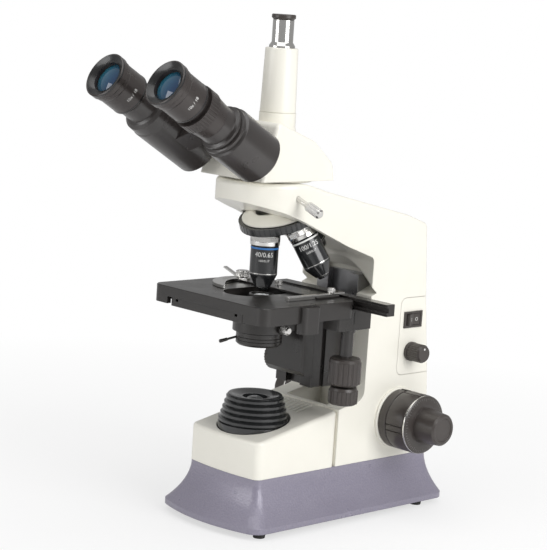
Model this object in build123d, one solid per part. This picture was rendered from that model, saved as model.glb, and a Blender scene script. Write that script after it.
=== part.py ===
from build123d import *
import math
import os

os.makedirs("parts", exist_ok=True)

# Trinocular biological microscope, in millimetres.
# Everything is drawn about the optical axis: x to the user's right, y to the back, z up
# from the table. The files are written OPTICAL_Y further along y, which centres the whole.
OPTICAL_Y = -13.2

# Clearances that tie neighbouring pieces together
RUN = 0.05        # radial gap of a shaft in its bore
GAP = 0.3         # gap between pieces that pass each other

# Base: a flared skirt under the lamp housing and the arm
BASE_HALF = 41.0          # half width of lamp housing and arm
FRONT_Y = -31.0           # front corners of the lamp housing
FRONT_BOW = 3.5           # how far the front bows out at the middle
SKIRT_REAR = 171.7        # rear of the skirt at its top
SKIRT_TOP = 44.0
SKIRT_BOTTOM = 5.0
LIP_TOP = 9.5             # upright lip round the bottom edge
FLARE_SIDE = 17.0         # flare from top to bottom, each side
FLARE_FRONT = 12.0
FLARE_BOW = 8.0           # the bow grows by this much
FLARE_REAR = 9.3
SKIRT_CORNER = 7.0
SKIRT_WALL = 5.5
DECK = 4.0                # thickness of the skirt's top
PLATE_THICK = 1.5
LEDGE_Z = 7.0             # the bottom plate sits up against this ledge
FOOT_R = 5.5
FOOT_X = 48.0
FOOT_FRONT_Y = -32.0
FOOT_REAR_Y = 153.0
BOLT_X = 40.0
BOLT_FRONT_Y = -18.0
BOLT_REAR_Y = 146.0

# Lamp housing
SEAM_Y = 57.0             # seam between lamp housing and arm
SLOPE_Z = 80.5            # height of the sloped top at the optical axis
SLOPE = 0.2
LAMP_WALL = 3.5
LAMP_HOLE_R = 30.0
CUP_FLOOR_Z = 60.0
CUP_SEAT_Z = 66.0
VENT_COUNT = 7
VENT_PITCH = 5.0
VENT_WIDTH = 2.2
VENT_Y0 = 34.0
VENT_Y1 = 53.0

# Field lens collar
COLLAR_R = 29.3
COLLAR_TOP_Z = 103.4
COLLAR_TOP_R = 22.5
RIB_Z = 80.0
RIB_COUNT = 5
RIB_PITCH = 4.5
RIB_DEPTH = 1.7
FIELD_LENS_R = 15.9
FIELD_OPENING_R = 10.3
FIELD_SEAT_Z = 97.0

# Arm
NOSE_TOP = 279.4
NOSE_Y = -2.0             # centre of the round nose, radius BASE_HALF
COLUMN_Y = 86.0           # front face of the column
SLOT_HALF = 24.0          # slot in the column front for the focus block
SLOT_BACK = 101.0
SLOT_TOP = 205.0
SLOT_BOTTOM = 56.0
WELL_Y = 60.0             # front of the well in the arm's foot
COVER_WALL = 3.6
CORE_HALF = BASE_HALF - COVER_WALL   # the arm's core under the rear cover
ARM_WALL = 8.0
CAVITY_HALF = BASE_HALF - ARM_WALL
CAVITY_Y = 106.0
COVER_Y = 123.8           # front edge of the rear cover's wings
COVER_Z0 = 114.3
COVER_Z1 = 180.2
COVER_CORNER = 6.0
ROCKER_DEEP = 2.5         # the rocker's pivot is this far inside the arm's side
DIMMER_LONG = 16.3        # how far the dimmer stands out
ARM_EDGE = 3.5

# Focus drive
FOCUS_Y = 127.0
FOCUS_Z = 78.0
BEARING_R = 26.0
BEARING_LONG = 2.6
BEARING_OUT = BASE_HALF + BEARING_LONG
BUSH_R = 11.0
COARSE_SHAFT_R = 5.0
FINE_SHAFT_R = 3.0
PINION_R = 5.8
RACK_TIP_Y = 120.9
TENSION_R = 25.0
TENSION_LONG = 8.4
TENSION_OUT = BEARING_OUT + TENSION_LONG
SPIGOT_R = 12.0
COARSE_R = 25.0
COARSE_LONG = 19.0
COARSE_OUT = TENSION_OUT + COARSE_LONG
DIAL_R = 24.6
DIAL_LONG = 2.2
DIAL_OUT = COARSE_OUT + DIAL_LONG
FINE_R0 = 15.0
FINE_R1 = 13.0
FINE_LONG = 21.8
FINE_OUT = DIAL_OUT + FINE_LONG

# Focus block and guide
BLOCK_HALF = 22.5
BLOCK_Y0 = 42.0
BLOCK_Y1 = 84.5
BLOCK_Z0 = 108.0
BLOCK_Z1 = 172.0
TONGUE_NARROW = 11.0
TONGUE_WIDE = 15.5
TONGUE_Y = 96.0
RAIL_Z0 = 118.5
RAIL_Z1 = 200.0
RACK_HALF = 4.0
RACK_Z0 = 62.0

# Condenser and its carrier
CARRIER_HALF = 22.0
CARRIER_Y0 = 30.0
CARRIER_Y1 = 41.7
CARRIER_Z0 = 118.0
CARRIER_Z1 = 165.0
RING_Z0 = 156.0
RING_R = 22.0
CONDENSER_NECK = 16.0
CONDENSER_R = 18.8
CONDENSER_Z0 = 144.5
CONDENSER_TOP_Z = 186.2
CONDENSER_TOP_R = 10.8
IRIS_Z0 = 148.5
IRIS_Z1 = 151.5
CKNOB_Y = 47.0
CKNOB_Z = 125.0
CKNOB_R = 12.5
CKNOB_IN = 24.0
CKNOB_OUT = 36.0

# Stage
STAGE_HALF = 66.0
STAGE_FRONT = -59.6
STAGE_REAR = 42.6
STAGE_TOP = 188.3
STAGE_UNDER = 180.2
STAGE_SKIRT = 174.3
STAGE_CORNER = 8.5
STAGE_WALL = 4.0
OPENING_HALF = 18.0
OPENING_LONG = 36.0
NOTCH_X0 = -47.0
NOTCH_X1 = 43.0
LOWER_X0 = -46.0
LOWER_X1 = 42.0
LOWER_Y0 = -58.0
LOWER_Y1 = 84.0
LOWER_Z0 = 173.0
LOWER_HOLE_R = 20.0
POST_OUT = 71.0

# X bar and slide holder
BAR_Y0 = 42.9
BAR_Y1 = 52.0
BAR_Z0 = 180.5
BAR_Z1 = 190.0
BAR_X0 = -27.0
BAR_X1 = 98.0
HOLDER_Z = 188.6
HOLDER_FRONT = 13.4
PIVOT = (-45.0, 20.0)
CLIP_SWING = 35.0         # how far the finger swings out, degrees
SCREW_A = (-6.5, 24.7)
SCREW_B = (46.2, 32.5)

# Stage drive
DRIVE = (55.5, 45.0)
DRIVE_TUBE_R = 5.25
DRIVE_Z0 = 163.0
TUBE_Z0 = 141.0
Y_KNOB_R = 13.25
Y_KNOB_Z0 = 117.5
Y_KNOB_Z1 = 139.5
X_KNOB_R = 12.0
X_KNOB_Z0 = 101.5
X_KNOB_Z1 = 115.5
OUTER_SHAFT_R = 3.6
INNER_SHAFT_R = 2.0
FLUTES = 20

# Nosepiece
SEAT_Z = 234.5            # shoulder of the working objective
TILT = 21.5               # angle between turret axis and optical axis, degrees
SEAT_CIRCLE = 19.5
DISC_R = 33.0
GRIP_R = 34.2
GRIP_T0 = -4.6
GRIP_T1 = -10.9
DISC_TOP = -10.7
MOUNT_R = 31.0
MOUNT_TOP = -18.0
MOUNT_TOP_R = 22.0
SPINDLE_R = 6.0
THREAD_R = 10.1
OBJECTIVE_R = 11.7

# Head
HEAD_HALF = 37.0
HEAD_BOTTOM = 281.4
HEAD_EDGE = 3.0
DOVETAIL_R = 23.6
PHOTO_Y = 4.5             # the photo tube stands this far behind the optical axis
BOSS_R = 14.75
SEAM_Z = 332.6
TUBE_R0 = 14.4
TUBE_R1 = 13.15
TUBE_LONG = 51.0
TUBE_TOP = SEAM_Z + TUBE_LONG
PORT_R = 8.5
PORT_FOOT_R = 10.35
PORT_FOOT_Z = TUBE_TOP + 4.4
PORT_LONG = 18.0
PORT_TOP = PORT_FOOT_Z + PORT_LONG
CAP_R = 9.6
CAP_HEAD = 4.0
CAP_PLUG = 8.0
TOTAL_HEIGHT = PORT_TOP + CAP_HEAD
CLAMP = (BASE_HALF, -6.0, 268.0)
CLAMP_DROP = 20.0         # the clamp screw points this far below level, degrees

# Binocular: each tube runs from its eyepiece rim down to the head
INCLINATION = 30.0
TUBE_X = 35.0             # half of the eye distance at rest
RIM_Y = -145.4
RIM_Z = 357.3
PIVOT_ABOVE = 13.5        # the hinge is this far above the tubes' plane
HOUSING_R = 21.0
HOUSING_END = 116.5
HUB_R = 15.5
HINGE_R = 11.0
LEFT_HUB = (75.0, 93.0)
RIGHT_HUB = (95.0, 113.0)
EYE_TUBE_R = 11.6
EYE_BODY_R = 17.0
EYE_RIM_R = 18.5
EYE_LENGTH = 31.0


def block(x0, x1, y0, y1, z0, z1):
    """Square-edged block between two corners."""
    middle = Pos((x0 + x1) / 2, (y0 + y1) / 2, (z0 + z1) / 2)
    return middle * Box(x1 - x0, y1 - y0, z1 - z0)


def turned(place, points):
    """Turned piece: points are (radius, distance along the axis of place)."""
    outline = make_face(Polyline(*points, close=True))
    return place * revolve(Plane.XZ * outline, Axis.Z, 360)


def rod(place, radius, start, end):
    """Plain round bar along the axis of place."""
    return place * (Pos(0, 0, start) * extrude(Circle(radius), end - start))


def ring(place, outer, inner, start, end):
    """Plain round tube along the axis of place."""
    return rod(place, outer, start, end) - rod(place, inner, start - 1, end + 1)


def side_view(points, half):
    """Prism with the outline (y, z), as wide as half on both sides of x = 0."""
    outline = make_face(Polyline(*points, close=True))
    return extrude(Plane.YZ * outline, amount=half, both=True)


def plan_view(points, z0, z1):
    """Prism with the outline (x, y) from z0 up to z1."""
    outline = make_face(Polyline(*points, close=True))
    return Pos(0, 0, z0) * extrude(outline, z1 - z0)


def dome(radius, rim, top):
    """Arc of a spherical cap, from the rim of the given radius up to the axis."""
    rise = top - rim
    ball = (radius**2 + rise**2) / (2 * rise)
    half_z = top - ball + math.copysign(math.sqrt(ball**2 - radius**2 / 4), rise)
    return ThreePointArc((radius, rim), (radius / 2, half_z), (0, top))


def fluted(place, radius, start, end, count, flute_r):
    """Round grip with flutes along it."""
    outline = Circle(radius)
    for spot in PolarLocations(radius + flute_r * 0.45, count):
        outline -= spot * Circle(flute_r)
    return place * (Pos(0, 0, start) * extrude(outline, end - start))


def write(name, solid):
    """Write one sub-part, moved from the optical axis to the frame of the whole."""
    export_step(Pos(0, OPTICAL_Y, 0) * solid, f"parts/{name}.step")


UP = Plane.XY
FOCUS_AXIS = Plane(origin=(0, FOCUS_Y, FOCUS_Z), x_dir=(0, 1, 0), z_dir=(1, 0, 0))


# Base


def base_outline(half, front, bow, rear, corner, z):
    """Plan outline of the base at height z: straight sides, front bowed forward."""
    sides = Polyline((half, front), (half, rear), (-half, rear), (-half, front))
    front_arc = ThreePointArc((-half, front), (0, front - bow), (half, front))
    face = make_face(sides + front_arc)
    return Pos(0, 0, z) * fillet(face.vertices(), corner)


def skirt_outline(z, wall):
    """Outline of the skirt at height z, drawn in by wall."""
    flare = min(1.0, ((SKIRT_TOP - z) / (SKIRT_TOP - LIP_TOP)) ** 2)
    return base_outline(
        BASE_HALF + FLARE_SIDE * flare - wall,
        FRONT_Y - FLARE_FRONT * flare + wall,
        FRONT_BOW + FLARE_BOW * flare,
        SKIRT_REAR + FLARE_REAR * flare - wall,
        max(2.0, SKIRT_CORNER + 6 * flare - wall),
        z,
    )


def base_skirt():
    """Hollow casting with a concave flare, a deck on top and four screw bosses."""
    levels = (LIP_TOP, 14, 20, 27, 35, SKIRT_TOP)
    outside = loft([skirt_outline(z, 0) for z in levels])
    outside += extrude(skirt_outline(SKIRT_BOTTOM, 0), LIP_TOP - SKIRT_BOTTOM)
    inner_levels = (LIP_TOP, 14, 20, 27, 35, SKIRT_TOP - DECK)
    inside = loft([skirt_outline(z, SKIRT_WALL) for z in inner_levels])
    inside += extrude(skirt_outline(LEDGE_Z, SKIRT_WALL), LIP_TOP - LEDGE_Z)
    inside += extrude(skirt_outline(SKIRT_BOTTOM, 3.0), LEDGE_Z - SKIRT_BOTTOM)
    for x in (-BOLT_X, BOLT_X):
        for y in (BOLT_FRONT_Y, BOLT_REAR_Y):
            inside -= rod(Plane((x, y, 0)), 5.0, LEDGE_Z, SKIRT_TOP)
    skirt = outside - inside
    for x in (-BOLT_X, BOLT_X):
        for y in (BOLT_FRONT_Y, BOLT_REAR_Y):
            skirt -= rod(Plane((x, y, 0)), 1.6, LEDGE_Z - 1, LEDGE_Z + 14)
    skirt -= rod(UP, 9.0, 30, 50)
    skirt -= block(-14, 14, 112, 138, 30, 50)
    return skirt


def bottom_plate():
    """Sheet that closes the skirt from below, with air slots under lamp and board."""
    plate = extrude(skirt_outline(LEDGE_Z - PLATE_THICK, 3.0 + GAP), PLATE_THICK)
    slot = SlotOverall(26, 3)
    for y in (-8, 0, 8, 112, 120, 128):
        plate -= Pos(0, y, 0) * extrude(slot, 12)
    for x in (-BOLT_X, BOLT_X):
        for y in (BOLT_FRONT_Y, BOLT_REAR_Y):
            plate -= rod(Plane((x, y, 0)), 1.9, 0, 12)
    return plate


def feet():
    """Four rubber feet, slightly tapered."""
    top = LEDGE_Z - PLATE_THICK
    made = []
    for x in (-FOOT_X, FOOT_X):
        for y in (FOOT_FRONT_Y, FOOT_REAR_Y):
            spot = Plane((x, y, 0))
            made.append(turned(spot, [(0, 0), (FOOT_R - 0.8, 0), (FOOT_R, top), (0, top)]))
    return Compound(made)


def power_board():
    """Supply board on four posts, with a transformer and two capacitors."""
    z = LEDGE_Z + 5
    board = block(-28, 28, 92, 142, z, z + 1.6)
    for x in (-24, 24):
        for y in (96, 138):
            board += rod(Plane((x, y, 0)), 2.5, LEDGE_Z, z)
    board += block(-20, 8, 100, 134, z + 1.6, z + 22)
    board += block(-14, 2, 96, 138, z + 1.6, z + 16)
    for y in (104, 118):
        board += rod(Plane((18, y, 0)), 5, z + 1.6, z + 18)
    return board


# Lamp housing


def slope_at(y):
    """Height of the lamp housing's sloped top at y."""
    return SLOPE_Z + SLOPE * y


def under_slope(drop, half):
    """Everything below the sloped top, lowered by drop."""
    points = [(-60, 0), (60, 0), (60, slope_at(60) - drop), (-60, slope_at(-60) - drop)]
    return side_view(points, half)


def lamp_housing():
    """Shell with a cup for the lens collar, vent slots and a rounded rim."""
    outline = base_outline(BASE_HALF, FRONT_Y, FRONT_BOW, SEAM_Y, 6.0, SKIRT_TOP)
    body = extrude(outline, 60) & under_slope(0, 60)
    rim = body.edges().filter_by(
        lambda e: e.center().Z > 60
        and abs(e.center().Y - SEAM_Y) > 1
        and abs(e.center().Z - slope_at(e.center().Y)) < 0.8
    )
    body = fillet(rim, 3.0)
    keep = BASE_HALF - LAMP_WALL
    inner = base_outline(keep, FRONT_Y + LAMP_WALL, FRONT_BOW, SEAM_Y - LAMP_WALL, 3.0, 30)
    hollow = extrude(inner, 80) & under_slope(LAMP_WALL, 60)
    shell = body - hollow
    shell += rod(UP, LAMP_HOLE_R + 3, CUP_FLOOR_Z, 100) & body
    shell -= rod(UP, LAMP_HOLE_R, CUP_SEAT_Z, 120)
    shell -= rod(UP, 19.0, 50, 120)
    for i in range(VENT_COUNT):
        x = (i - (VENT_COUNT - 1) / 2) * VENT_PITCH
        cut = SlotOverall(VENT_Y1 - VENT_Y0, VENT_WIDTH, rotation=90)
        shell -= Pos(x, (VENT_Y0 + VENT_Y1) / 2, 70) * extrude(cut, 40)
    return shell


def lens_collar():
    """Ribbed collar that narrows upwards and holds the field lens from above."""
    points = [(FIELD_LENS_R + RUN, CUP_SEAT_Z), (COLLAR_R, CUP_SEAT_Z), (COLLAR_R, RIB_Z)]
    for i in range(RIB_COUNT):
        z = RIB_Z + i * RIB_PITCH
        r = COLLAR_R - 0.3 - i * 1.35
        points += [(r - RIB_DEPTH, z + 0.5), (r, z + 1.4), (r, z + 3.4), (r - RIB_DEPTH, z + 4.3)]
    points += [
        (COLLAR_TOP_R, COLLAR_TOP_Z - 0.6),
        (COLLAR_TOP_R - 0.6, COLLAR_TOP_Z),
        (COLLAR_TOP_R - 3.0, COLLAR_TOP_Z),
        (FIELD_OPENING_R + 1.5, COLLAR_TOP_Z - 2.2),
        (FIELD_OPENING_R, COLLAR_TOP_Z - 2.2),
        (FIELD_OPENING_R, FIELD_SEAT_Z),
        (FIELD_LENS_R + RUN, FIELD_SEAT_Z),
    ]
    return turned(UP, points)


def field_lens():
    """Plano-convex lens with a flat shoulder that bears up against the collar."""
    dome_r = FIELD_OPENING_R - 0.4
    edge = Polyline(
        (0, 90), (FIELD_LENS_R, 90), (FIELD_LENS_R, FIELD_SEAT_Z), (dome_r, FIELD_SEAT_Z)
    )
    top = FIELD_SEAT_Z + 4.8
    face = make_face(edge + dome(dome_r, FIELD_SEAT_Z, top) + Line((0, top), (0, 90)))
    return revolve(Plane.XZ * face, Axis.Z, 360)


def lamp_socket():
    """Ceramic socket standing on the deck."""
    points = [(3.1, 54), (3.1, 57), (8, 57), (8, 48), (14, 48), (14, 44), (5, 44), (5, 54)]
    return turned(UP, points)


def lamp_bulb():
    """Small halogen capsule with its base in the socket."""
    points = [(0, 54), (3.05, 54), (3.05, 57), (5.6, 58.5), (6, 62), (6, 72), (4.5, 75), (0, 76.5)]
    return turned(UP, points)


# Arm


def turret_place(shift=0.0):
    """Turret axis: origin in the plane of the seats, z down along the axis."""
    tilt = math.radians(TILT)
    middle = (0, SEAT_CIRCLE * math.cos(tilt), SEAT_Z + SEAT_CIRCLE * math.sin(tilt))
    down = (0, math.sin(tilt), -math.cos(tilt))
    return Plane(origin=middle, x_dir=(1, 0, 0), z_dir=down).offset(shift)


def arm_outline():
    """Side outline of the arm with rounded corners."""
    corners = [
        ((-46, NOSE_TOP), 0),
        ((4, NOSE_TOP), 30),
        ((30, 272.4), 30),
        ((126, 250.8), 40),
        ((150.2, 242.6), 5),
        ((156.5, 178.5), 60),
        ((160.7, 147.0), 60),
        ((165.0, 115.5), 60),
        ((172.0, SKIRT_TOP), 0),
        ((SEAM_Y, SKIRT_TOP), 0),
        ((SEAM_Y, slope_at(SEAM_Y)), 0),
        ((COLUMN_Y, slope_at(COLUMN_Y)), 9),
        ((COLUMN_Y, 216.5), 5),
        ((54.0, 227.5), 0),
        ((2.6, 249.4), 0),
        ((-18.0, 257.0), 0),
        ((-46, 265.0), 0),
    ]
    face = make_face(Polyline(*[c[0] for c in corners], close=True))
    for (y, z), radius in corners:
        if radius:
            near = face.vertices().sort_by_distance((y, z, 0))[0]
            face = fillet(near, radius)
    return face


def arm_outside():
    """Outer shape of the arm: side outline, round nose and rounded long edges."""
    body = extrude(Plane.YZ * arm_outline(), amount=BASE_HALF, both=True)
    nose = Pos(0, NOSE_Y, 0) * Circle(BASE_HALF)
    behind = Pos(0, NOSE_Y + 100, 0) * Rectangle(2 * BASE_HALF, 200)
    body &= extrude(nose + behind, 400)
    top = body.edges().filter_by(
        lambda e: e.center().Z > 243 and e.center().Y < 149 and above_line(e.center())
    )
    rear = body.edges().filter_by(
        lambda e: abs(abs(e.center().X) - BASE_HALF) < 0.1 and e.center().Y > 149.0
    )
    return fillet(top + rear, ARM_EDGE)


def above_line(point):
    """True on the arm's upper rim, on the nose and along both sides."""
    limit = min(NOSE_TOP, 279.4 - 0.24 * max(0.0, point.Y - 2.0)) - 4.0
    on_side = abs(abs(point.X) - BASE_HALF) < 0.1 or point.Y < NOSE_Y - 1
    return point.Z > limit and on_side


def cover_outline(grow):
    """Side outline of the rear cover, round at its two front corners."""
    y = COVER_Y - grow
    face = make_face(
        Polyline(
            (y, COVER_Z0 - grow),
            (200, COVER_Z0 - grow),
            (200, COVER_Z1 + grow),
            (y, COVER_Z1 + grow),
            close=True,
        )
    )
    front = face.vertices().filter_by(lambda v: v.X < y + 1)
    return fillet(front, COVER_CORNER + grow)


def core(grow):
    """The arm's core inside the rear cover."""
    points = [(100, 100), (163.2, 100), (161.3, 115.5), (157.0, 147), (152.6, 190), (100, 190)]
    return side_view(points, CORE_HALF + grow)


def inlet_place():
    """Plane of the mains inlet: on the sloped rear face, z pointing out."""
    lean = math.atan2(165.0 - 160.7, 147.0 - 115.5)
    outward = (0, math.cos(lean), math.sin(lean))
    return Plane(origin=(0, 162.75, 132.0), x_dir=(1, 0, 0), z_dir=outward)


def switch_cut():
    """Opening for the switch body, through cover and core on the right side."""
    return block(CAVITY_HALF - 4, BASE_HALF + 5, 129.5, 148.5, 155.5, 167.5)


def arm():
    """C-shaped casting with the turret cavity, guide slot, gear space and head seat."""
    body = arm_outside()
    cut = extrude(Plane.YZ * cover_outline(GAP), amount=60, both=True)
    body -= cut - core(0)
    space = [(CAVITY_Y, 30), (164, 30), (157.2, 113), (153, 147), (149, 176), (CAVITY_Y, 176)]
    body -= side_view(space, CAVITY_HALF)
    body -= block(-SLOT_HALF, SLOT_HALF, COLUMN_Y - 3, SLOT_BACK, SLOT_BOTTOM, SLOT_TOP)
    body -= block(-SLOT_HALF, SLOT_HALF, WELL_Y, SLOT_BACK, SLOT_BOTTOM, 112)
    body -= block(-6, 6, SLOT_BACK - 1, CAVITY_Y + 1, 30, 119)
    cone = [
        (0, MOUNT_TOP),
        (MOUNT_TOP_R + GAP, MOUNT_TOP),
        (36, GRIP_T1 - 1.2),
        (36, 8),
        (36 + 0.394 * 70, 78),
        (0, 78),
    ]
    body -= turned(turret_place(), cone)
    body -= rod(UP, 10.0, 235, 290)
    body -= rod(UP, DOVETAIL_R + 0.4, 275, 290)
    body -= rod(clamp_place(), 2.2 + RUN, -22, 4)
    body -= rod(FOCUS_AXIS, BUSH_R + RUN, -60, 60)
    body -= switch_cut()
    body -= rod(Plane(origin=(0, 139, 134), z_dir=(1, 0, 0)), 8.0, 30, 50)
    body -= inlet_place() * (Pos(0, 0, -20) * extrude(RectangleRounded(28.0, 20.4, 2), 30))
    return body


def electrics_cover():
    """Rear cover that wraps round the column, flush with the arm."""
    shape = extrude(Plane.YZ * cover_outline(0), amount=60, both=True)
    shell = (arm_outside() & shape) - core(GAP)
    shell -= core(0)
    shell -= switch_cut()
    shell -= rod(Plane(origin=(0, 139, 134), z_dir=(1, 0, 0)), 3.4, 30, 50)
    shell -= inlet_place() * (Pos(0, 0, -20) * extrude(RectangleRounded(28.0, 20.4, 2), 30))
    return shell


def switch_frame():
    """Switch body with its bezel; the rocker tilts inside it."""
    body = block(CAVITY_HALF - 3.5, BASE_HALF, 129.7, 148.3, 155.7, 167.3)
    body += block(BASE_HALF, BASE_HALF + 1.2, 128, 150, 154.5, 168.5)
    body -= block(CAVITY_HALF - 1, BASE_HALF + 5, 130.4, 147.6, 156.4, 166.6)
    return body


def power_rocker():
    """Rocker, pressed down at the front end."""
    points = [(3.1, 0), (4.7, 7.4), (2.1, 7.9), (-1.1, 7.2), (-3.3, 0)]
    mirrored = [(x, -y) for x, y in points[1:4]]
    outline = [points[0], *points[1:4], points[4], *reversed(mirrored)]
    body = plan_view(outline, 156.7, 166.3)
    return Pos(BASE_HALF - ROCKER_DEEP, 139, 0) * Rot(0, 0, 8) * body


def dimmer_knob():
    """Fluted brightness knob with its shaft."""
    place = Plane(origin=(0, 139, 134), x_dir=(0, 1, 0), z_dir=(1, 0, 0))
    foot = BASE_HALF + 0.4
    end = BASE_HALF + DIMMER_LONG
    knob = fluted(place, 7.8, BASE_HALF + 0.8, end - 1.8, 24, 0.6)
    knob += turned(place, [(0, end - 1.8), (7.3, end - 1.8), (6.5, end), (0, end)])
    knob += turned(place, [(0, foot), (8.2, foot), (8.2, foot + 2.6), (0, foot + 2.6)])
    return knob + rod(place, 3.0, CAVITY_HALF + 1, BASE_HALF + 1)


def power_inlet():
    """Mains inlet with three flat pins, let into the rear cover."""
    place = inlet_place()
    shape = place * (Pos(0, 0, 0) * extrude(RectangleRounded(33, 25, 3), 2.0))
    shape += place * (Pos(0, 0, -16) * extrude(RectangleRounded(27.4, 19.8, 2), 16.5))
    shape -= place * (Pos(0, 0, -13.5) * extrude(RectangleRounded(24, 16.4, 3), 20))
    for x, y in ((-7, -2.0), (7, -2.0), (0, 2.0)):
        shape += place * (Pos(x, y, -14) * extrude(Rectangle(2, 4), 12))
    return shape


# Focus drive


def both_sides(solid):
    """The solid and its mirror image on the left."""
    return Compound([*solid.solids(), *mirror(solid, about=Plane.YZ).solids()])


def focus_bearings():
    """Two painted collars with bushes through the arm's sides."""
    bore = COARSE_SHAFT_R + RUN
    collar = turned(
        FOCUS_AXIS,
        [
            (bore, CAVITY_HALF),
            (BUSH_R, CAVITY_HALF),
            (BUSH_R, BASE_HALF),
            (BEARING_R, BASE_HALF),
            (BEARING_R, BEARING_OUT - 1),
            (BEARING_R - 1, BEARING_OUT),
            (bore, BEARING_OUT),
        ],
    )
    spigot = ring(FOCUS_AXIS, SPIGOT_R, bore, BEARING_OUT, TENSION_OUT - 0.6)
    left = mirror(collar, about=Plane.YZ)
    return Compound([*(collar + spigot).solids(), *left.solids()])


def tension_ring():
    """Ring beside the right coarse knob that sets how stiff the focus is."""
    start = BEARING_OUT + GAP
    body = ring(FOCUS_AXIS, TENSION_R, SPIGOT_R + RUN, start, TENSION_OUT)
    edges = body.edges().filter_by(GeomType.CIRCLE).group_by(SortBy.RADIUS)[-1]
    body = chamfer(edges, 0.6)
    notch = FOCUS_AXIS * (Pos(0, TENSION_R, start) * Box(3.0, 3.0, 30))
    return body - notch


def coarse_profile(start):
    """Coarse knob with two pairs of grooves, from start outwards."""
    bore = COARSE_SHAFT_R + RUN
    points = [(bore, start), (COARSE_R - 1, start), (COARSE_R, start + 1)]
    for x in (COARSE_OUT - 13.0, COARSE_OUT - 5.0):
        points += [
            (COARSE_R, x - 1.4),
            (COARSE_R - 1.1, x - 0.9),
            (COARSE_R - 1.1, x + 0.9),
            (COARSE_R, x + 1.4),
        ]
    points += [(COARSE_R, COARSE_OUT - 1), (COARSE_R - 1, COARSE_OUT), (bore, COARSE_OUT)]
    return turned(FOCUS_AXIS, points)


def coarse_knobs():
    """Both coarse knobs; the left one also covers the length of the tension ring."""
    right = coarse_profile(TENSION_OUT + GAP)
    left = mirror(coarse_profile(BEARING_OUT + GAP), about=Plane.YZ)
    return Compound([*right.solids(), *left.solids()])


def coarse_shaft():
    """Hollow shaft with the focus pinion in its middle."""
    shaft = rod(FOCUS_AXIS, COARSE_SHAFT_R, -COARSE_OUT, COARSE_OUT)
    teeth = Circle(COARSE_SHAFT_R)
    for spot in PolarLocations(PINION_R - 0.6, 16):
        teeth += spot * Rectangle(1.2, 0.9)
    shaft += FOCUS_AXIS * (Pos(0, 0, -6) * extrude(teeth, 12))
    return shaft - rod(FOCUS_AXIS, FINE_SHAFT_R + RUN, -100, 100)


def fine_shaft():
    """Thin shaft through the hollow one."""
    return rod(FOCUS_AXIS, FINE_SHAFT_R, -FINE_OUT + 2, FINE_OUT - 2)


def fine_knobs():
    """Fine knobs, each with the graduated flange behind it."""
    bore = FINE_SHAFT_R + RUN
    points = [
        (bore, COARSE_OUT + GAP),
        (DIAL_R, COARSE_OUT + GAP),
        (DIAL_R, DIAL_OUT - 0.5),
        (DIAL_R - 1.2, DIAL_OUT + 0.4),
        (FINE_R0 + 2, DIAL_OUT + 1.4),
        (FINE_R0, DIAL_OUT + 1.4),
        (FINE_R1 + 0.4, FINE_OUT - 1.5),
        (FINE_R1 - 1.0, FINE_OUT),
        (FINE_R1 - 3.0, FINE_OUT),
        (FINE_R1 - 3.6, FINE_OUT - 0.8),
        (0, FINE_OUT - 0.8),
        (0, FINE_OUT - 2),
        (bore, FINE_OUT - 2),
    ]
    return both_sides(turned(FOCUS_AXIS, points))


# Focus block


def tongue(grow, z0, z1):
    """Dovetail of the focus block, grown all round for its guide."""
    narrow = TONGUE_NARROW + grow
    wide = TONGUE_WIDE + grow
    points = [
        (-narrow, BLOCK_Y1 - 2),
        (-narrow, COLUMN_Y + 1),
        (-wide, TONGUE_Y + grow),
        (wide, TONGUE_Y + grow),
        (narrow, COLUMN_Y + 1),
        (narrow, BLOCK_Y1 - 2),
    ]
    return plan_view(points, z0, z1)


def carrier_groove(grow, z0, z1):
    """Dovetail between condenser carrier and focus block."""
    points = [
        (-7 - grow, CARRIER_Y1 - 2),
        (-10 - grow, CARRIER_Y1 + 5 + grow),
        (10 + grow, CARRIER_Y1 + 5 + grow),
        (7 + grow, CARRIER_Y1 - 2),
    ]
    return plan_view(points, z0, z1)


def guide_rail():
    """Steel guide for the focus block's dovetail, on the back of the slot."""
    half = SLOT_HALF - GAP
    rail = block(-half, half, COLUMN_Y + 1, SLOT_BACK, RAIL_Z0, RAIL_Z1)
    return rail - tongue(GAP, RAIL_Z0 - 1, RAIL_Z1 + 1)


def focus_slide():
    """Block that carries the stage, with stepped sides and two dovetails."""
    body = block(-BLOCK_HALF, BLOCK_HALF, BLOCK_Y0, BLOCK_Y1, BLOCK_Z0, BLOCK_Z1)
    for side in (-1, 1):
        body -= block(
            *sorted((side * (BLOCK_HALF - 1.5), side * (BLOCK_HALF + 1))), BLOCK_Y0 - 1, 52.0, 90, 190
        )
        body -= block(
            *sorted((side * (BLOCK_HALF - 2.6), side * (BLOCK_HALF + 1))), 52.0, 55.0, 90, 190
        )
    upright = body.edges().filter_by(Axis.Z).filter_by(lambda e: e.center().Y < BLOCK_Y0 + 1)
    body = chamfer(upright, 0.8)
    body += tongue(0, RAIL_Z0, BLOCK_Z1)
    body -= carrier_groove(GAP, BLOCK_Z0 - 1, BLOCK_Z1 + 1)
    return body - rod(knob_place(), 3.0 + RUN, 9, 40)


def focus_rack():
    """Rack that reaches back through the column to the pinion."""
    body = block(-RACK_HALF, RACK_HALF, BLOCK_Y1, 119.8, 109, 117)
    body += block(-RACK_HALF, RACK_HALF, 112.5, 119.8, RACK_Z0, 117)
    for i in range(16):
        z = RACK_Z0 + 1.2 + i * 2.356
        body += block(-RACK_HALF, RACK_HALF, 119.6, RACK_TIP_Y, z - 0.55, z + 0.55)
    return body


# Condenser


def knob_place():
    """Axis of the condenser height knob, pointing left."""
    return Plane(origin=(0, CKNOB_Y + 6, CKNOB_Z), x_dir=(0, 1, 0), z_dir=(-1, 0, 0))


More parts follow.
